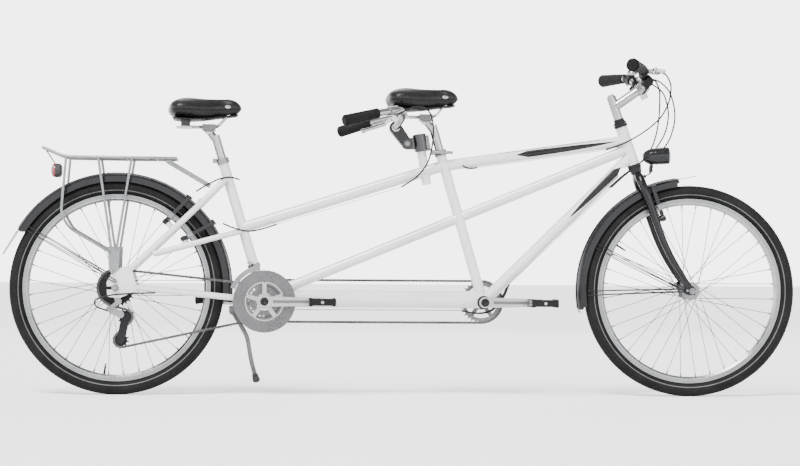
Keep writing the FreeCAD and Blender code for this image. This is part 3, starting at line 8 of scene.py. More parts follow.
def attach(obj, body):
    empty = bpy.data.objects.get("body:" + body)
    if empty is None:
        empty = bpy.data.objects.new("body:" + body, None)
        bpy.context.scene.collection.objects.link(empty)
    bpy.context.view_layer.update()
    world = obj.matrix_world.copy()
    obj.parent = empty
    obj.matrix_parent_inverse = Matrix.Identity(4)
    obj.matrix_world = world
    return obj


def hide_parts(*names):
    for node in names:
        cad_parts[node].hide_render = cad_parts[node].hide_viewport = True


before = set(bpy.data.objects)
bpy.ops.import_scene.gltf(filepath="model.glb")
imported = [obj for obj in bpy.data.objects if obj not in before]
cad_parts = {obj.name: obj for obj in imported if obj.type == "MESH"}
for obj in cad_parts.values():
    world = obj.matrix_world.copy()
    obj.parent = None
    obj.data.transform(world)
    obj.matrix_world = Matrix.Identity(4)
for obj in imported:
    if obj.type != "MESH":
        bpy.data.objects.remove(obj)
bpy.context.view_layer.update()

# ---- places, as in the CAD source, millimetres forward of the rear axle, left and up ----------------
REAR_X = -872.0
WHEELBASE = 1766.0
TYRE_R = 326.5
HUBS = {"front": (WHEELBASE, TYRE_R), "rear": (0.0, TYRE_R)}
WHEEL_BODY = {"front": "front_wheel", "rear": "rear_wheel"}
SADDLE_CLAMP = {"captain": (944.0, 850.0), "stoker": (277.0, 813.0)}
STOKER_BB = (451.0, 288.0)
CAPTAIN_BB = (1124.1, 288.0)
CRANK = 175.0


def at(x, y, z):
    return Vector((x + REAR_X, y, z)) / 1000


def around(hub, radius, degrees, y=0.0):
    a = math.radians(degrees)
    return at(hub[0] + radius * math.cos(a), y, hub[1] + radius * math.sin(a))


# ---- material nodes ---------------------------------------------------------------------------------
def new_material(name):
    material = bpy.data.materials.new(name)
    material.use_nodes = True
    tree = material.node_tree
    tree.nodes.clear()
    out = tree.nodes.new("ShaderNodeOutputMaterial")
    shader = tree.nodes.new("ShaderNodeBsdfPrincipled")
    tree.links.new(shader.outputs[0], out.inputs[0])
    place = tree.nodes.new("ShaderNodeTexCoord").outputs["Object"]
    return material, tree, shader, place


def feed(tree, socket, value):
    """Sets a socket to a number, a colour or another node's output."""
    if hasattr(value, "is_linked"):
        tree.links.new(value, socket)
    else:
        socket.default_value = value


def math_node(tree, kind, a, b=0.0, c=0.0):
    node = tree.nodes.new("ShaderNodeMath")
    node.operation = kind
    for socket, value in zip(node.inputs, (a, b, c)):
        feed(tree, socket, value)
    return node.outputs[0]


def scaled(tree, place, stretch):
    node = tree.nodes.new("ShaderNodeMapping")
    node.inputs["Scale"].default_value = stretch
    tree.links.new(place, node.inputs["Vector"])
    return node.outputs[0]


def noise_of(tree, place, scale, detail=4.0, stretch=(1, 1, 1)):
    node = tree.nodes.new("ShaderNodeTexNoise")
    node.inputs["Scale"].default_value = scale
    node.inputs["Detail"].default_value = detail
    tree.links.new(scaled(tree, place, stretch), node.inputs["Vector"])
    return node.outputs["Fac"]


def cells_of(tree, place, scale, stretch=(1, 1, 1)):
    node = tree.nodes.new("ShaderNodeTexVoronoi")
    node.inputs["Scale"].default_value = scale
    tree.links.new(scaled(tree, place, stretch), node.inputs["Vector"])
    return node.outputs["Distance"]


def ranged(tree, value, low, high, start=0.3, end=0.7):
    node = tree.nodes.new("ShaderNodeMapRange")
    for key, number in (("From Min", start), ("From Max", end), ("To Min", low), ("To Max", high)):
        node.inputs[key].default_value = number
    feed(tree, node.inputs["Value"], value)
    return node.outputs[0]


def mixed(tree, share, a, b):
    node = tree.nodes.new("ShaderNodeMix")
    node.data_type = "RGBA"
    feed(tree, node.inputs[0], share)
    feed(tree, node.inputs[6], a)
    feed(tree, node.inputs[7], b)
    return node.outputs[2]


def blended(tree, share, a, b):
    node = tree.nodes.new("ShaderNodeMix")
    feed(tree, node.inputs[0], share)
    feed(tree, node.inputs[2], a)
    feed(tree, node.inputs[3], b)
    return node.outputs[0]


def axes_of(tree, place):
    node = tree.nodes.new("ShaderNodeSeparateXYZ")
    tree.links.new(place, node.inputs[0])
    return node.outputs


def inside_box(tree, place, low, high):
    """1 inside a box given by two corners."""
    share = None
    for value, a, b in zip(axes_of(tree, place), low, high):
        here = math_node(tree, "MULTIPLY", math_node(tree, "GREATER_THAN", value, a),
                         math_node(tree, "LESS_THAN", value, b))
        share = here if share is None else math_node(tree, "MULTIPLY", share, here)
    return share


def from_axis(tree, place, hub):
    """Distance from a wheel's axle, and the angle round it."""
    x, _, z = axes_of(tree, place)
    centre = at(hub[0], 0, hub[1])
    dx = math_node(tree, "SUBTRACT", x, centre.x)
    dz = math_node(tree, "SUBTRACT", z, centre.z)
    squares = math_node(tree, "ADD", math_node(tree, "MULTIPLY", dx, dx), math_node(tree, "MULTIPLY", dz, dz))
    return math_node(tree, "SQRT", squares), math_node(tree, "ARCTAN2", dz, dx)


def band(tree, value, low, high):
    return math_node(tree, "MULTIPLY", math_node(tree, "GREATER_THAN", value, low),
                     math_node(tree, "LESS_THAN", value, high))


LOOKS = {
    "white": dict(dark=(0.48, 0.48, 0.476), light=(0.56, 0.56, 0.556), rough=(0.18, 0.30), coat=0.5,
                  grain=900, bump=0.012),
    "black_gloss": dict(dark=(0.0025, 0.0025, 0.003), light=(0.007, 0.007, 0.008), rough=(0.14, 0.26),
                        spec=0.18, coat=0.1, grain=900, bump=0.012),
    "black_satin": dict(dark=(0.004, 0.004, 0.0045), light=(0.012, 0.012, 0.013), rough=(0.32, 0.5),
                        spec=0.12, grain=1500, bump=0.03),
    "polished": dict(dark=(0.24, 0.24, 0.246), light=(0.36, 0.36, 0.36), metal=1.0, rough=(0.14, 0.30),
                     grain=1200, bump=0.02),
    "satin": dict(dark=(0.1485, 0.1513, 0.154), light=(0.231, 0.2338, 0.2365), metal=1.0,
                  rough=(0.30, 0.45), grain=2400, bump=0.05),
    "steel": dict(dark=(0.11, 0.11, 0.115), light=(0.2, 0.2, 0.205), metal=1.0, rough=(0.20, 0.36),
                  grain=1800, bump=0.03),
    "spoke": dict(dark=(0.025, 0.025, 0.0262), light=(0.05, 0.05, 0.0525), metal=1.0, rough=(0.25, 0.4),
                  grain=1800, bump=0.03),
    "chain": dict(dark=(0.021, 0.021, 0.0216), light=(0.096, 0.096, 0.096), metal=0.9, rough=(0.30, 0.5),
                  grain=700, bump=0.05),
    "ring": dict(dark=(0.049, 0.049, 0.0504), light=(0.168, 0.168, 0.1715), metal=0.85,
                 rough=(0.28, 0.46), grain=1500, bump=0.04),
    "guard": dict(dark=(0.0338, 0.0338, 0.0353), light=(0.0638, 0.0638, 0.066), spec=0.3,
                  rough=(0.22, 0.36), coat=0.15, grain=1200, bump=0.02),
    "plastic": dict(dark=(0.004, 0.004, 0.0045), light=(0.012, 0.012, 0.0125), rough=(0.42, 0.58),
                    spec=0.1, grain=2600, bump=0.07),
    "glossy": dict(dark=(0.006, 0.006, 0.0066), light=(0.012, 0.012, 0.0132), spec=0.2,
                   rough=(0.16, 0.28), coat=0.12, grain=1400, bump=0.015),
    "rubber": dict(dark=(0.004, 0.004, 0.004), light=(0.011, 0.011, 0.0115), rough=(0.55, 0.75),
                   spec=0.06, grain=1800, bump=0.12),
    "tyre_line": dict(dark=(0.06, 0.06, 0.06), light=(0.102, 0.102, 0.102), spec=0.2, rough=(0.4, 0.55),
                      grain=900, bump=0.02),
    "vinyl": dict(dark=(0.003, 0.003, 0.003), light=(0.009, 0.0088, 0.0086), rough=(0.30, 0.44),
                  spec=0.16, coat=0.05, grain=1300, bump=0.10),
    "jacket": dict(dark=(0.004, 0.004, 0.0045), light=(0.010, 0.010, 0.011), rough=(0.30, 0.45),
                   spec=0.12, grain=900, bump=0.03),
    "red_lens": dict(dark=(0.12, 0.002, 0.004), light=(0.26, 0.005, 0.008), rough=(0.10, 0.2), coat=0.6,
                     grain=0, bump=0.0),
    "clear_lens": dict(dark=(0.272, 0.288, 0.304), light=(0.448, 0.464, 0.48), rough=(0.06, 0.14),
                       coat=0.9, grain=600, bump=0.03),
    "reflector": dict(dark=(0.132, 0.132, 0.138), light=(0.24, 0.24, 0.246), metal=0.3,
                      rough=(0.14, 0.28), coat=0.5, grain=0, bump=0.0),
    "grey_alloy": dict(dark=(0.078, 0.078, 0.081), light=(0.132, 0.132, 0.135), metal=0.9,
                       rough=(0.34, 0.48), grain=2000, bump=0.05),
    "badge": dict(dark=(0.21, 0.21, 0.216), light=(0.312, 0.312, 0.318), metal=1.0, rough=(0.2, 0.32),
                  grain=1500, bump=0.03),
    "decal": dict(dark=(0.004, 0.004, 0.005), light=(0.010, 0.010, 0.011), rough=(0.20, 0.32), spec=0.15,
                  coat=0.05, grain=900, bump=0.01),
}


def surface(name, look, zones=(), pattern=None):
    """A material from one look, with other looks in some zones; each zone is (mask function, look)."""
    material, tree, shader, place = new_material(name)
    broad = noise_of(tree, place, 14, 6)
    fine = noise_of(tree, place, 160, 4)
    share = math_node(tree, "MULTIPLY_ADD", fine, 0.5, math_node(tree, "MULTIPLY", broad, 0.5))

    def parts(key):
        kind = LOOKS[key]
        patches = ranged(tree, share, 0.0, 1.0, 0.35, 0.65)
        colour = mixed(tree, patches, (*kind["dark"], 1), (*kind["light"], 1))
        rough = ranged(tree, share, kind["rough"][0], kind["rough"][1], 0.35, 0.65)
        return colour, rough, kind.get("metal", 0.0), kind.get("coat", 0.0)

    colour, rough, metal, coat = parts(look)
    shader.inputs["Specular IOR Level"].default_value = LOOKS[look].get("spec", 0.5)
    for mask, other in zones:
        here = mask(tree, place)
        c2, r2, m2, k2 = parts(other)
        colour = mixed(tree, here, colour, c2)
        rough = blended(tree, here, rough, r2)
        metal = blended(tree, here, metal, m2)
        coat = blended(tree, here, coat, k2)
    feed(tree, shader.inputs["Base Color"], colour)
    feed(tree, shader.inputs["Roughness"], rough)
    feed(tree, shader.inputs["Metallic"], metal)
    feed(tree, shader.inputs["Coat Weight"], coat)
    height, strength, grain = None, LOOKS[look]["bump"], LOOKS[look]["grain"]
    if grain:
        height = noise_of(tree, place, grain, 3)
    if pattern:
        drawn, weight = pattern(tree, place)
        height = drawn if height is None else math_node(tree, "MULTIPLY_ADD", height, 0.08, drawn)
        strength = weight
    if height is not None:
        bump = tree.nodes.new("ShaderNodeBump")
        bump.inputs["Strength"].default_value = strength
        bump.inputs["Distance"].default_value = 0.001
        tree.links.new(height, bump.inputs["Height"])
        tree.links.new(bump.outputs[0], shader.inputs["Normal"])
    return material


def box_zone(low, high):
    return lambda tree, place: inside_box(tree, place, at(*low), at(*high))


def radius_zone(hub, low, high):
    def mask(tree, place):
        radius, _ = from_axis(tree, place, hub)
        return band(tree, radius, low / 1000, high / 1000)
    return mask


def side_zone(low, high):
    """Where y is between two values, in millimetres."""
    return lambda tree, place: band(tree, axes_of(tree, place)[1], low / 1000, high / 1000)


def tread(hub):
    """Slanted shoulder grooves and fine centre ribs, by the angle round the axle."""
    def pattern(tree, place):
        radius, angle = from_axis(tree, place, hub)
        y = axes_of(tree, place)[1]
        wide = math_node(tree, "ABSOLUTE", y)
        slant = math_node(tree, "MULTIPLY_ADD", wide, 260.0, math_node(tree, "MULTIPLY", angle, 150.0))
        groove = math_node(tree, "GREATER_THAN", math_node(tree, "SINE", slant), 0.1)
        crown = math_node(tree, "GREATER_THAN", radius, (TYRE_R - 10) / 1000)
        wave = math_node(tree, "SINE", math_node(tree, "MULTIPLY", y, 1500.0))
        rib = math_node(tree, "GREATER_THAN", wave, -0.6)
        centre = math_node(tree, "LESS_THAN", wide, 0.008)
        return math_node(tree, "MULTIPLY", crown, blended(tree, centre, groove, rib)), 1.0
    return pattern


def ribs(stretch, scale=700.0):
    """Moulded ribs across one direction."""
    def pattern(tree, place):
        node = tree.nodes.new("ShaderNodeTexWave")
        node.inputs["Scale"].default_value = scale / 6.2832
        tree.links.new(scaled(tree, place, stretch), node.inputs["Vector"])
        return node.outputs["Fac"], 0.7
    return pattern


def prisms(tree, place):
    """The small cells of a lens."""
    return cells_of(tree, place, 260), 0.8


def turned_marks(hub, scale=9000.0):
    """Fine rings left by turning, round a wheel's axle."""
    def pattern(tree, place):
        radius, _ = from_axis(tree, place, hub)
        return math_node(tree, "SINE", math_node(tree, "MULTIPLY", radius, scale)), 0.05
    return pattern


def dress(node, material):
    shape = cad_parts[node].data
    for k in range(len(shape.materials)):
        shape.materials[k] = material


def wheel_looks():
    for end, hub in HUBS.items():
        line = (radius_zone(hub, 297, 299.6), "tyre_line")
        brake_track = (radius_zone(hub, 274, 286), "satin")
        hub_shell = (radius_zone(hub, 0, 34), "satin")
        dress(f"{end}_tyre", surface(f"{end}_tyre_rubber", "rubber", [line], tread(hub)))
        dress(f"{end}_rim", surface(f"{end}_rim_alloy", "polished", [brake_track], turned_marks(hub)))
        dress(f"{end}_spokes", surface(f"{end}_spoke_steel", "spoke", [hub_shell]))


def node_looks():
    plain = {
        "white": ["main_frame", "rear_triangle"],
        "black_gloss": ["fork", "stoker_stem", "rear_fender", "front_fender"],
        "polished": ["quill_stem", "handlebar", "stoker_bar", "captain_lever_left", "captain_lever_right",
                     "stoker_lever"],
        "satin": ["rear_rack", "front_quick_release", "seat_quick_release", "derailleur_body"],
        "steel": ["front_derailleur_cage"],
        "chain": ["drive_chain", "timing_chain"],
        "black_satin": ["frame_bearings", "cassette", "derailleur_cage"],
        "plastic": ["shift_lever_left", "shift_lever_right", "bell_striker", "upper_pulley", "lower_pulley"],
    }
    for look, nodes in plain.items():
        material = surface(f"{look}_finish", look)
        for node in nodes:
            dress(node, material)
    for rider in ("captain", "stoker"):
        x, z = SADDLE_CLAMP[rider]
        clamp = box_zone((x - 30, -40, z - 8), (x + 30, 40, z + 20))
        foam = box_zone((x - 90, -60, z + 9.2), (x - 52, 60, z + 60))
        post_zones = [(clamp, "grey_alloy"), (foam, "rubber")]
        dress(f"{rider}_seatpost", surface(f"{rider}_post_alloy", "polished", post_zones))
    for group in ("captain_grips", "stoker_grips"):
        dress(group, surface(f"{group}_moulded", "rubber", pattern=ribs((1, 0.35, 0.1))))
    dress("captain_controls", surface("controls_plastic", "plastic", [
        (box_zone((1570, 55, 1001), (1625, 95, 1030)), "polished"),
        (box_zone((1612, -152, 984), (1660, -112, 1006)), "satin"),
        (box_zone((1612, 112, 984), (1660, 152, 1006)), "satin")]))
    guard = box_zone((330, -66, 150), (570, -62, 420))
    spider = box_zone((380, -62.5, 200), (530, -53.6, 380))
    dress("stoker_rings", surface("ring_steel", "ring", [(spider, "polished"), (guard, "guard")]))
    for rider in ("captain", "stoker"):
        x, z = STOKER_BB if rider == "stoker" else CAPTAIN_BB
        crank_zones = [(side_zone(44, 48.5), "ring")]
        for middle in (x + 88, x - 88):
            groove = box_zone((middle - 62, -90, z - 4.5), (middle + 62, 90, z + 4.5))
            crank_zones.append((groove, "grey_alloy"))
        dress(f"{rider}_cranks", surface(f"{rider}_crank_alloy", "polished", crank_zones))
        for side in ("right", "left"):
            resin = surface(f"{rider}_pedal_{side}_resin", "plastic", pattern=ribs((1, 0, 0), 900))
            dress(f"{rider}_pedal_{side}", resin)
    foot = box_zone((380, 40, 0), (460, 110, 62))
    dress("kickstand", surface("stand_alloy", "grey_alloy", [(foot, "rubber")]))
    for name in ("front", "rear", "drag"):
        arm_zones = [(pad_zone(name), "rubber"), (stud_zone(name), "satin")]
        for side in ("left", "right"):
            dress(f"{name}_brake_{side}", surface(f"{name}_{side}_brake_alloy", "black_gloss", arm_zones))
    glass = box_zone((1700.2, -40, 700), (1720, 40, 800))
    dress("headlight", surface("lamp_shell", "glossy", [(glass, "clear_lens")]))
    case = box_zone((-189.9, -30, 640), (-150, 30, 760))
    hanger = box_zone((-230, -12, 707), (-180, 12, 760))
    dress("tail_light", surface("tail_lens", "red_lens", [(case, "plastic"), (hanger, "plastic")], prisms))
    front_axle = box_zone((1730, -80, 280), (1800, 80, 370))
    dress("fork_fittings", surface("fork_hardware", "black_satin", [(front_axle, "steel")]))
    wires = [box_zone((1207, -40, 340), (1515, 40, 650)), box_zone((1107, -20, 700), (1499, 0, 768)),
             box_zone((501, -20, 258), (1057, 20, 266)), box_zone((490, -26, 520), (865, -10, 645))]
    dress("frame_cables", surface("housings", "jacket", [(w, "steel") for w in wires]))
    dress("steering_cables", surface("steering_housings", "jacket"))
    black_clamp = box_zone((870, -40, 740), (990, 40, 815))
    bolts = box_zone((944, -17, 755), (972, -7, 800))
    bracket = box_zone((330, -32, 240), (400, 50, 292))
    dress("frame_fittings", surface("frame_hardware", "satin", [
        (black_clamp, "black_gloss"), (bolts, "steel"), (bracket, "grey_alloy")]))


PAD_OUTER_Y = 0.0236            # outer face of a brake pad, metres


def pad_zone(name):
    """The brake's pads, between the rim and their outer faces."""
    hub = HUBS["front" if name == "front" else "rear"]

    def mask(tree, place):
        radius, _ = from_axis(tree, place, hub)
        near = band(tree, radius, 0.262, 0.2895)
        wide = math_node(tree, "ABSOLUTE", axes_of(tree, place)[1])
        return math_node(tree, "MULTIPLY", near, math_node(tree, "LESS_THAN", wide, PAD_OUTER_Y))
    return mask


def stud_zone(name):
    """The pads' studs, washers and nuts, outside the pads themselves."""
    hub = HUBS["front" if name == "front" else "rear"]

    def mask(tree, place):
        radius, _ = from_axis(tree, place, hub)
        near = band(tree, radius, 0.268, 0.285)
        wide = math_node(tree, "ABSOLUTE", axes_of(tree, place)[1])
        return math_node(tree, "MULTIPLY", near, math_node(tree, "GREATER_THAN", wide, PAD_OUTER_Y))
    return mask


# ---- mesh helpers -----------------------------------------------------------------------------------
def shown(name, verts, faces, material, body, slot, smooth=True):
    shape = bpy.data.meshes.new(name)
    shape.from_pydata([tuple(v) for v in verts], [], faces)
    shape.update()
    piece = bpy.data.objects.new(name, shape)
    bpy.context.scene.collection.objects.link(piece)
    shape.materials.append(material)
    for f in shape.polygons:
        f.use_smooth = smooth
    if body:
        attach(piece, body)
    return piece


def net(rows, wide, ring=True):
    """Faces between rows of points; ring closes each row on itself."""
    return [(j * wide + k, j * wide + (k + 1) % wide, (j + 1) * wide + (k + 1) % wide, (j + 1) * wide + k)
            for j in range(rows - 1) for k in range(wide if ring else wide - 1)]


def tube_faces(rows, wide):
    """A net closed by a face at each end."""
    return net(rows, wide) + [tuple(reversed(range(wide))), tuple((rows - 1) * wide + k for k in range(wide))]


def spin_rings(profile, start, way, sides=24):
    """Vertices and faces of a shape turned about way from (distance, radius) pairs in millimetres."""
    way = way.normalized()
    a = way.cross(Vector((0, 1, 0)) if abs(way.y) < 0.9 else Vector((1, 0, 0))).normalized()
    b = way.cross(a)
    verts = []
    for d, r in profile:
        for k in range(sides):
            t = 2 * math.pi * k / sides
            verts.append(start + (way * d + a * (r * math.cos(t)) + b * (r * math.sin(t))) / 1000)
    return verts, tube_faces(len(profile), sides)


def joined(parts):
    verts, faces = [], []
    for v, f in parts:
        base = len(verts)
        verts += v
        faces += [tuple(i + base for i in face) for face in f]
    return verts, faces


def swept(points, r, sides=10):
    """A tube along points that a formula gave."""
    verts, n = [], len(points)
    for k, p in enumerate(points):
        way = (points[min(k + 1, n - 1)] - points[max(k - 1, 0)]).normalized()
        a = way.cross(Vector((0, 1, 0)) if abs(way.y) < 0.9 else Vector((0, 0, 1))).normalized()
        b = way.cross(a)
        for i in range(sides):
            t = 2 * math.pi * i / sides
            verts.append(p + (a * math.cos(t) + b * math.sin(t)) * (r / 1000))
    return verts, tube_faces(n, sides)


# ---- saddles ----------------------------------------------------------------------------------------
# (forward of the clamp, half width, top, underside), millimetres
SADDLE_SECTIONS = [(-128, 62, 83, 38), (-116, 88, 92, 30), (-70, 96, 96, 26), (-15, 66, 93, 28),
                   (35, 36, 92, 34), (80, 27, 93, 39), (104, 18, 85, 48)]


def eased(x, table=SADDLE_SECTIONS):
    """A smooth curve through the table's rows, by their first value."""
    for k in range(len(table) - 1):
        if x <= table[k + 1][0]:
            break
    rows = [table[max(0, min(len(table) - 1, i))] for i in (k - 1, k, k + 1, k + 2)]
    t = max(0.0, min(1.0, (x - rows[1][0]) / (rows[2][0] - rows[1][0])))
    out = []
    for a, b, c, d in zip(*[r[1:] for r in rows]):
        bend, twist = 2 * a - 5 * b + 4 * c - d, 3 * b - a - 3 * c + d
        out.append(0.5 * (2 * b + (c - a) * t + bend * t * t + twist * t ** 3))
    return out


def saddle_form(rider, shrink):
    """A closed, crowned saddle: a full nose, wide rear, a shallow trough and a skirt turned under."""
    x0, z0 = SADDLE_CLAMP[rider]
    sides, along = 40, 44
    verts, faces = [], []
    for j in range(along + 1):
        u = 0.5 - 0.5 * math.cos(math.pi * j / along)
        dx = -127 + 230 * u
        half, top, low = eased(dx)
        end = min(1.0, math.sqrt(max(0.0, 1 - (2 * u - 1) ** 10)) + 0.02)
        half, mid = half * end - shrink, (top + low) / 2
        tall = (top - low) / 2 * end - shrink
        for k in range(sides):
            t = 2 * math.pi * k / sides
            c, s = math.cos(t), math.sin(t)
            y = half * math.copysign(abs(c) ** 0.86, c)
            z = tall * math.copysign(abs(s) ** (0.80 if s > 0 else 1.0), s)
            if s > 0 and dx < 20:
                z -= 3.2 * math.exp(-(y / 12) ** 2) * min(1.0, (20 - dx) / 40)
            if s < 0:
                z *= 0.92
            verts.append(at(x0 + dx, y, z0 + mid + z))
    for j in range(along):
        for k in range(sides):
            n = (k + 1) % sides
            faces.append((j * sides + k, (j + 1) * sides + k, (j + 1) * sides + n, j * sides + n))
    faces.append(tuple(range(sides)))
    faces.append(tuple(reversed(range(along * sides, (along + 1) * sides))))
    return verts, faces


CLOTH_FRAMES = 15
PRESSURE = 4.0


def puffed(piece, cap):
    """Voxel remesh, then cloth under pressure, with each point's travel capped, in metres."""
    remesh = piece.modifiers.new("remesh", "REMESH")
    remesh.mode = "VOXEL"
    remesh.voxel_size = 0.005
    bpy.context.view_layer.objects.active = piece
    bpy.ops.object.modifier_apply(modifier="remesh")
    start = [v.co.copy() for v in piece.data.vertices]
    cloth = piece.modifiers.new("cloth", "CLOTH")
    cloth.settings.use_pressure = True
    cloth.settings.uniform_pressure_force = PRESSURE
    cloth.settings.effector_weights.gravity = 0
    for f in range(1, CLOTH_FRAMES + 1):
        bpy.context.scene.frame_set(f)
    evaluated = piece.evaluated_get(bpy.context.evaluated_depsgraph_get())
    moved = [v.co.copy() for v in evaluated.data.vertices]
    piece.modifiers.remove(cloth)
    bpy.context.scene.frame_set(1)
    for v, a, b in zip(piece.data.vertices, start, moved):
        d = b - a
        v.co = a + d * min(1.0, cap / max(d.length, 1e-9))
    smooth = piece.modifiers.new("smooth", "SMOOTH")
    smooth.iterations = 6
    bpy.ops.object.modifier_apply(modifier="smooth")
    for f in piece.data.polygons:
        f.use_smooth = True
    finer = piece.modifiers.new("finer", "SUBSURF")
    finer.levels = finer.render_levels = 1


def vinyl_pattern(tree, place):
    """Leather-like pebbles."""
    return cells_of(tree, place, 900), 0.10


def piping_lines(rider):
    """The seam's cord round both flanks."""
    x0, z0 = SADDLE_CLAMP[rider]
    steps, seam = 60, []
    for side in (1, -1):
        line = []
        for j in range(steps):
            dx = -112 + 204 * j / (steps - 1)
            half, top, low = eased(dx)
            z = (top + low) / 2 - (top - low) / 2 * 0.12
            line.append(at(x0 + dx, side * (half * 0.994 + 0.1), z0 + z))
        seam.append(swept(line, 1.1, 8))
    return joined(seam)


def saddle_tray(rider):
    """The moulded shell under the padding."""
    x0, z0 = SADDLE_CLAMP[rider]
    rows, wide, verts = 25, 13, []
    for j in range(rows):
        dx = -108 + 196 * (j / (rows - 1))
        half, _, low = eased(dx)
        for k in range(wide):
            t = math.pi * k / (wide - 1)
            verts.append(at(x0 + dx, half * 0.80 * math.cos(t), z0 + low + 5.5 - 6.0 * math.sin(t) * 0.6))
    return verts, net(rows, wide, ring=False)


def saddle_plaque(rider):
    """A blank, domed oval on the right flank near the nose."""
    x0, z0 = SADDLE_CLAMP[rider]
    forward, rows, sides, verts = 58, 9, 24, []
    half, top, low = eased(forward)
    for j in range(rows):
        r = 1 - j / (rows - 1)
        y = -half * (0.93 + 0.02) - 1.2 * math.sqrt(1 - r * r * 0.9)
        for k in range(sides):
            t = 2 * math.pi * k / sides
            verts.append(at(x0 + forward + 9 * r * math.cos(t), y,
                            z0 + (top + low) / 2 + 4 + 5 * r * math.sin(t)))
    return verts, net(rows, sides)


PADDING_INSET = 2.6             # the form before it is puffed, millimetres inside its sections
PUFF_CAP = 0.0045               # most that padding moves a point, metres


def build_saddles():
    cover = surface("saddle_vinyl", "vinyl", pattern=vinyl_pattern)
    piping = surface("saddle_piping", "rubber")
    shell = surface("saddle_shell", "plastic")
    badge = surface("saddle_badge", "badge")
    for rider in ("captain", "stoker"):
        body = f"{rider}_seat"
        pad = shown(f"{rider}_saddle_cover", *saddle_form(rider, PADDING_INSET), cover, None, None)
        puffed(pad, PUFF_CAP)
        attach(pad, body)
        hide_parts(f"{rider}_saddle")
        shown(f"{rider}_saddle_piping", *piping_lines(rider), piping, body, "saddle_vinyl")
        tray = shown(f"{rider}_saddle_shell", *saddle_tray(rider), shell, body, "black_plastic")
        thick = tray.modifiers.new("thick", "SOLIDIFY")
        thick.thickness = 0.0025
        shown(f"{rider}_saddle_badge", *saddle_plaque(rider), badge, body, "polished_alloy")


# ---- decals -----------------------------------------------------------------------------------------
def sticker(name, a, b, r, edges, side, material):
    """A thin sheet on a tube from a to b; edges(u) gives its two edges, in degrees above the side line."""
    way = (b - a).normalized()
    out = Vector((0, side, 0))
    up = out.cross(way) if out.cross(way).z > 0 else way.cross(out)
    verts, long, wide = [], 60, 10
    for j in range(long + 1):
        u = j / long
        low, high = edges(u)
        for k in range(wide + 1):
            t = math.radians(low + (high - low) * k / wide)
            verts.append(a.lerp(b, u) + (out * math.cos(t) + up * math.sin(t)) * ((r + 0.22) / 1000))
    faces = net(long + 1, wide + 1, ring=False)
    return shown(name, verts, faces, material, "frame", "black_paint")


def build_decals():
    ink = surface("decal_ink", "decal")
    top_a, top_b = at(997, 0, 708), at(1568, 0, 791)
    down_a, down_b = at(1124, 0, 288), at(1583.5, 0, 742.6)

    def top_edges(u):
        grow = min(1.0, u / 0.12) * (1 - u ** 3)
        return 8 - 40 * grow, 8 + 34 * grow * (1 - 0.5 * u)

    def down_edges(u):
        grow = math.sin(math.pi * min(1.0, 0.04 + u) * 0.5) ** 0.8 * (1 - max(0.0, u - 0.9) / 0.1)
        return -36 * grow, 40 * grow

    def line_edges(u):
        return 52 - 6 * u, 58 - 5 * u

    top, down = (top_a, top_b, 17), (down_a, down_b, 18)
    kinds = (("top_tube_stripe", top, 0.395, 0.95, top_edges), ("top_tube_line", top, 0.30, 0.86, line_edges),
             ("down_tube_stripe", down, 0.585, 0.925, down_edges))
    for side, word in ((-1, "right"), (1, "left")):
        for kind, (a, b, r), begin, finish, edges in kinds:
            sticker(f"{kind}_{word}", a.lerp(b, begin), a.lerp(b, finish), r, edges, side, ink)


# ---- wheels' small pieces ---------------------------------------------------------------------------
def build_wheel_details():
    bright = surface("nipple_steel", "steel")
    rubber = surface("valve_rubber", "rubber")
    metal = surface("valve_cap", "satin")
    for end, hub in HUBS.items():
        body = WHEEL_BODY[end]
        parts = []
        for side in (1, -1):
            for k in range(18):
                leading = k % 2 == 0
                angle = k * 20 + (5 if side > 0 else 15)
                foot = around(hub, 266.5, angle, side * (4.4 if leading else 1.8))
                centre = around(hub, 100, angle + (14 if leading else -14), side * 22)
                parts.append(spin_rings([(0, 2.4), (2, 2.3), (9, 1.9), (12, 1.3)], foot, centre - foot, 8))
        shown(f"{end}_nipples", *joined(parts), bright, body, "steel")
        angle = 148 if end == "front" else 262
        foot = around(hub, 268, angle)
        inward = around(hub, 0, 0) - foot
        stem = spin_rings([(0, 3.9), (3, 3.9), (6, 3.1), (24, 2.9), (25, 2.4)], foot, inward, 16)
        shown(f"{end}_valve", *stem, rubber, body, "grip_rubber")
        cap_at = foot + inward.normalized() * 0.025
        cap = spin_rings([(0, 2.9), (1, 3.3), (8, 3.1), (9.5, 2.0)], cap_at, inward, 16)
        shown(f"{end}_valve_cap", *cap, metal, body, "satin_alloy")


def ridge(centre, radius, start, end, y, r):
    points = [around(centre, radius, start + (end - start) * k / 90, y) for k in range(91)]
    return swept(points, r, 8)


def skirt(centre, start, end, y, low, high, half):
    """A curved wall at one side of a mudguard, with a chamfered lower lip."""
    lip = low + 1.2
    section = [(low, -half * 0.4), (low, half * 0.4), (lip, half), (high, half), (high, -half), (lip, -half)]
    verts, long = [], 90
    for k in range(long + 1):
        angle = start + (end - start) * k / long
        verts += [around(centre, r, angle, y + d) for r, d in section]
    return verts, tube_faces(long + 1, len(section))


def build_fender_edges():
    """The mudguards' side walls and the two creases along each crown."""
    for name, a, b, body in (("front", 97, 189, "steering"), ("rear", -6, 149, "frame")):
        hub = HUBS[name]
        walls = joined([skirt(hub, a, b, side * 26.7, 324.0, 336.5, 0.9) for side in (1, -1)])
        gloss = surface(f"{name}_skirt", "black_gloss")
        shown(f"{name}_fender_skirts", *walls, gloss, body, "black_plastic", False)
        creases = joined([ridge(hub, 352.1, a, b, y, 0.9) for y in (-7, 7)])
        gloss = surface(f"{name}_crease", "black_gloss")
        shown(f"{name}_fender_creases", *creases, gloss, body, "black_plastic")


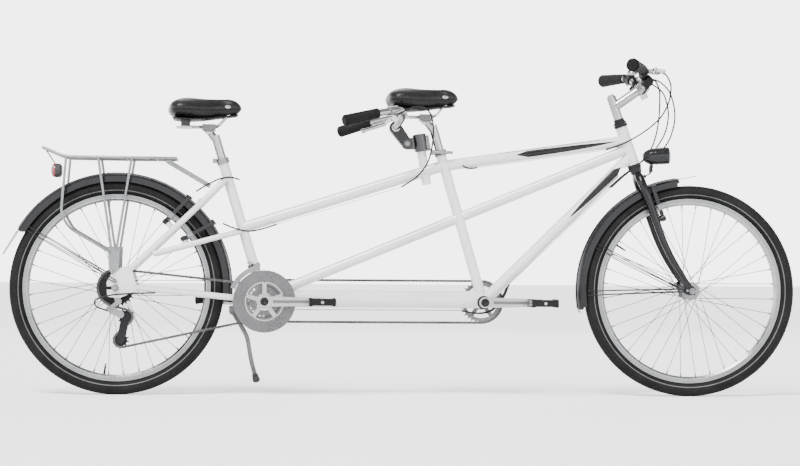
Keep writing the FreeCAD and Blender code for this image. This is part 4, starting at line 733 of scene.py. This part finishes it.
def build_pedal_details():
    clear = surface("pedal_reflector", "reflector", pattern=prisms)
    grit = surface("pedal_grip", "rubber", pattern=ribs((1, 1, 0), 1800))
    for rider, bb in (("captain", CAPTAIN_BB), ("stoker", STOKER_BB)):
        for side, way, word, inner in ((-1, 1, "right", 85), (1, -1, "left", 78)):
            x, z = bb[0] + way * CRANK, bb[1]
            parts, pads = [], []
            y = side * (inner + 44)
            for s in (1, -1):
                parts.append(lozenge(x + s * 41.0, y, z, 2.2, 52, 15))
                for t in (1, -1):
                    pads.append(lozenge(x + s * 35, y, z + t * 11.6, 8.6, 80, 1.6))
            body = f"{rider}_pedal_{word}"
            shown(f"{body}_reflectors", *joined(parts), clear, body, "black_plastic", False)
            shown(f"{body}_treads", *joined(pads), grit, body, "grip_rubber", False)


def lozenge(x, y, z, wide, long, tall):
    """A small bar with chamfered edges, long along Y."""
    corner = min(wide, tall) * 0.28
    w, h, verts = wide / 2, tall / 2, []
    section = [(w, h - corner), (w - corner, h), (-w + corner, h), (-w, h - corner),
               (-w, -h + corner), (-w + corner, -h), (w - corner, -h), (w, -h + corner)]
    rows = [(-long / 2, 0.7), (-long / 2 + corner, 1.0), (long / 2 - corner, 1.0), (long / 2, 0.7)]
    for dy, share in rows:
        verts += [at(x + a * share, y + dy, z + b * share) for a, b in section]
    return verts, tube_faces(len(rows), len(section))


def hexagon(start, way, flats, tall):
    """A nut or bolt head with a chamfered rim, flats across."""
    r = flats / math.sqrt(3)
    return spin_rings([(0, r), (tall * 0.75, r), (tall, r * 0.86)], start, way, 6)


def build_bolts():
    """Nuts and bolt heads that the frame's fittings carry."""
    metal = surface("bolt_steel", "steel")
    out = Vector((0, 1, 0))
    parts = []
    for s in (1, -1):
        parts.append(hexagon(at(0, s * 80, TYRE_R), out * s, 15, 6))
        parts.append(hexagon(at(0, s * 83.6, TYRE_R + 20), out * s, 8, 2.5))
        parts.append(hexagon(at(-6, s * 77, 376), out * s, 9, 3))
        parts.append(hexagon(at(886, s * 25, 775), out * s, 13, 3))
    shown("frame_nuts", *joined(parts), metal, "frame", "steel", False)
    front = [hexagon(at(WHEELBASE, -66, TYRE_R), -out, 14, 4)]
    front += [hexagon(at(WHEELBASE - 16, s * 65, TYRE_R + 2), out * s, 8, 2.5) for s in (1, -1)]
    shown("fork_nuts", *joined(front), metal, "steering", "steel", False)
    cap = [(0, 13), (1.5, 13), (3, 10), (3, 5), (1.5, 4.5)]
    for rider, (x, z) in (("captain", CAPTAIN_BB), ("stoker", STOKER_BB)):
        caps = joined([spin_rings(cap, at(x, y, z), out * s, 24) for y, s in ((-82, -1), (75, 1))])
        satin = surface(f"{rider}_cap", "black_satin")
        shown(f"{rider}_crank_caps", *caps, satin, f"{rider}_crank", "black_steel")


# ---- stage ------------------------------------------------------------------------------------------
def build_stage():
    floor_look, tree, shader, place = new_material("floor_paper")
    paper = mixed(tree, noise_of(tree, place, 2), (0.88, 0.88, 0.88, 1), (0.92, 0.92, 0.92, 1))
    feed(tree, shader.inputs["Base Color"], paper)
    feed(tree, shader.inputs["Roughness"], ranged(tree, noise_of(tree, place, 30), 0.6, 0.8))
    bpy.ops.mesh.primitive_plane_add(size=60)
    floor = bpy.context.object
    floor.name = "floor"
    floor.data.materials.append(floor_look)
    world = bpy.data.worlds.new("studio")
    bpy.context.scene.world = world
    world.use_nodes = True
    tree = world.node_tree
    height = axes_of(tree, tree.nodes.new("ShaderNodeTexCoord").outputs["Generated"])[2]
    backdrop = tree.nodes["Background"]
    backdrop.inputs["Color"].default_value = (0.97, 0.98, 1.0, 1)
    feed(tree, backdrop.inputs["Strength"], ranged(tree, height, 5.0, 0.8, 0.16, 0.40))
    sun = bpy.data.lights.new("sun", "SUN")
    sun.energy, sun.angle = 7.0, math.radians(28)
    place_lamp("sun", sun, (-2.0, -3.4, 6.5))
    for name, spot, size, power in (("key", (-2.6, -4.6, 4.6), 3.0, 220), ("fill", (3.6, -4.2, 2.6), 3.2, 80),
                                    ("back", (0.5, 4.6, 3.6), 4.0, 120)):
        lamp = bpy.data.lights.new(name, "AREA")
        lamp.energy, lamp.size = power, size
        place_lamp(name, lamp, spot)


def place_lamp(name, lamp, spot):
    """Puts a lamp at a spot, aimed at the bicycle's middle."""
    holder = bpy.data.objects.new(name, lamp)
    bpy.context.scene.collection.objects.link(holder)
    holder.location = spot
    holder.rotation_euler = (Vector((0, 0, 0.5)) - Vector(spot)).to_track_quat("-Z", "Y").to_euler()


def build_camera():
    yaw, pitch, roll = 0.0553, 0.0124, 0.0066
    ahead = Vector((math.sin(yaw) * math.cos(pitch), math.cos(yaw) * math.cos(pitch), math.sin(pitch)))
    right = Vector((math.cos(yaw), -math.sin(yaw), 0))
    up = right.cross(ahead)
    turned_right = right * math.cos(roll) + up * math.sin(roll)
    turned_up = up * math.cos(roll) - right * math.sin(roll)
    lens = bpy.data.cameras.new("camera")
    lens.sensor_width, lens.lens = 36.0, 97.2
    camera = bpy.data.objects.new("camera", lens)
    bpy.context.scene.collection.objects.link(camera)
    basis = Matrix((turned_right, turned_up, -ahead)).transposed()
    camera.matrix_world = Matrix.Translation(at(498.2, -6654.4, 417.5)) @ basis.to_4x4()
    bpy.context.scene.camera = camera


wheel_looks()
node_looks()
build_saddles()
build_decals()
build_wheel_details()
build_fender_edges()
build_pedal_details()
build_bolts()
build_stage()
build_camera()
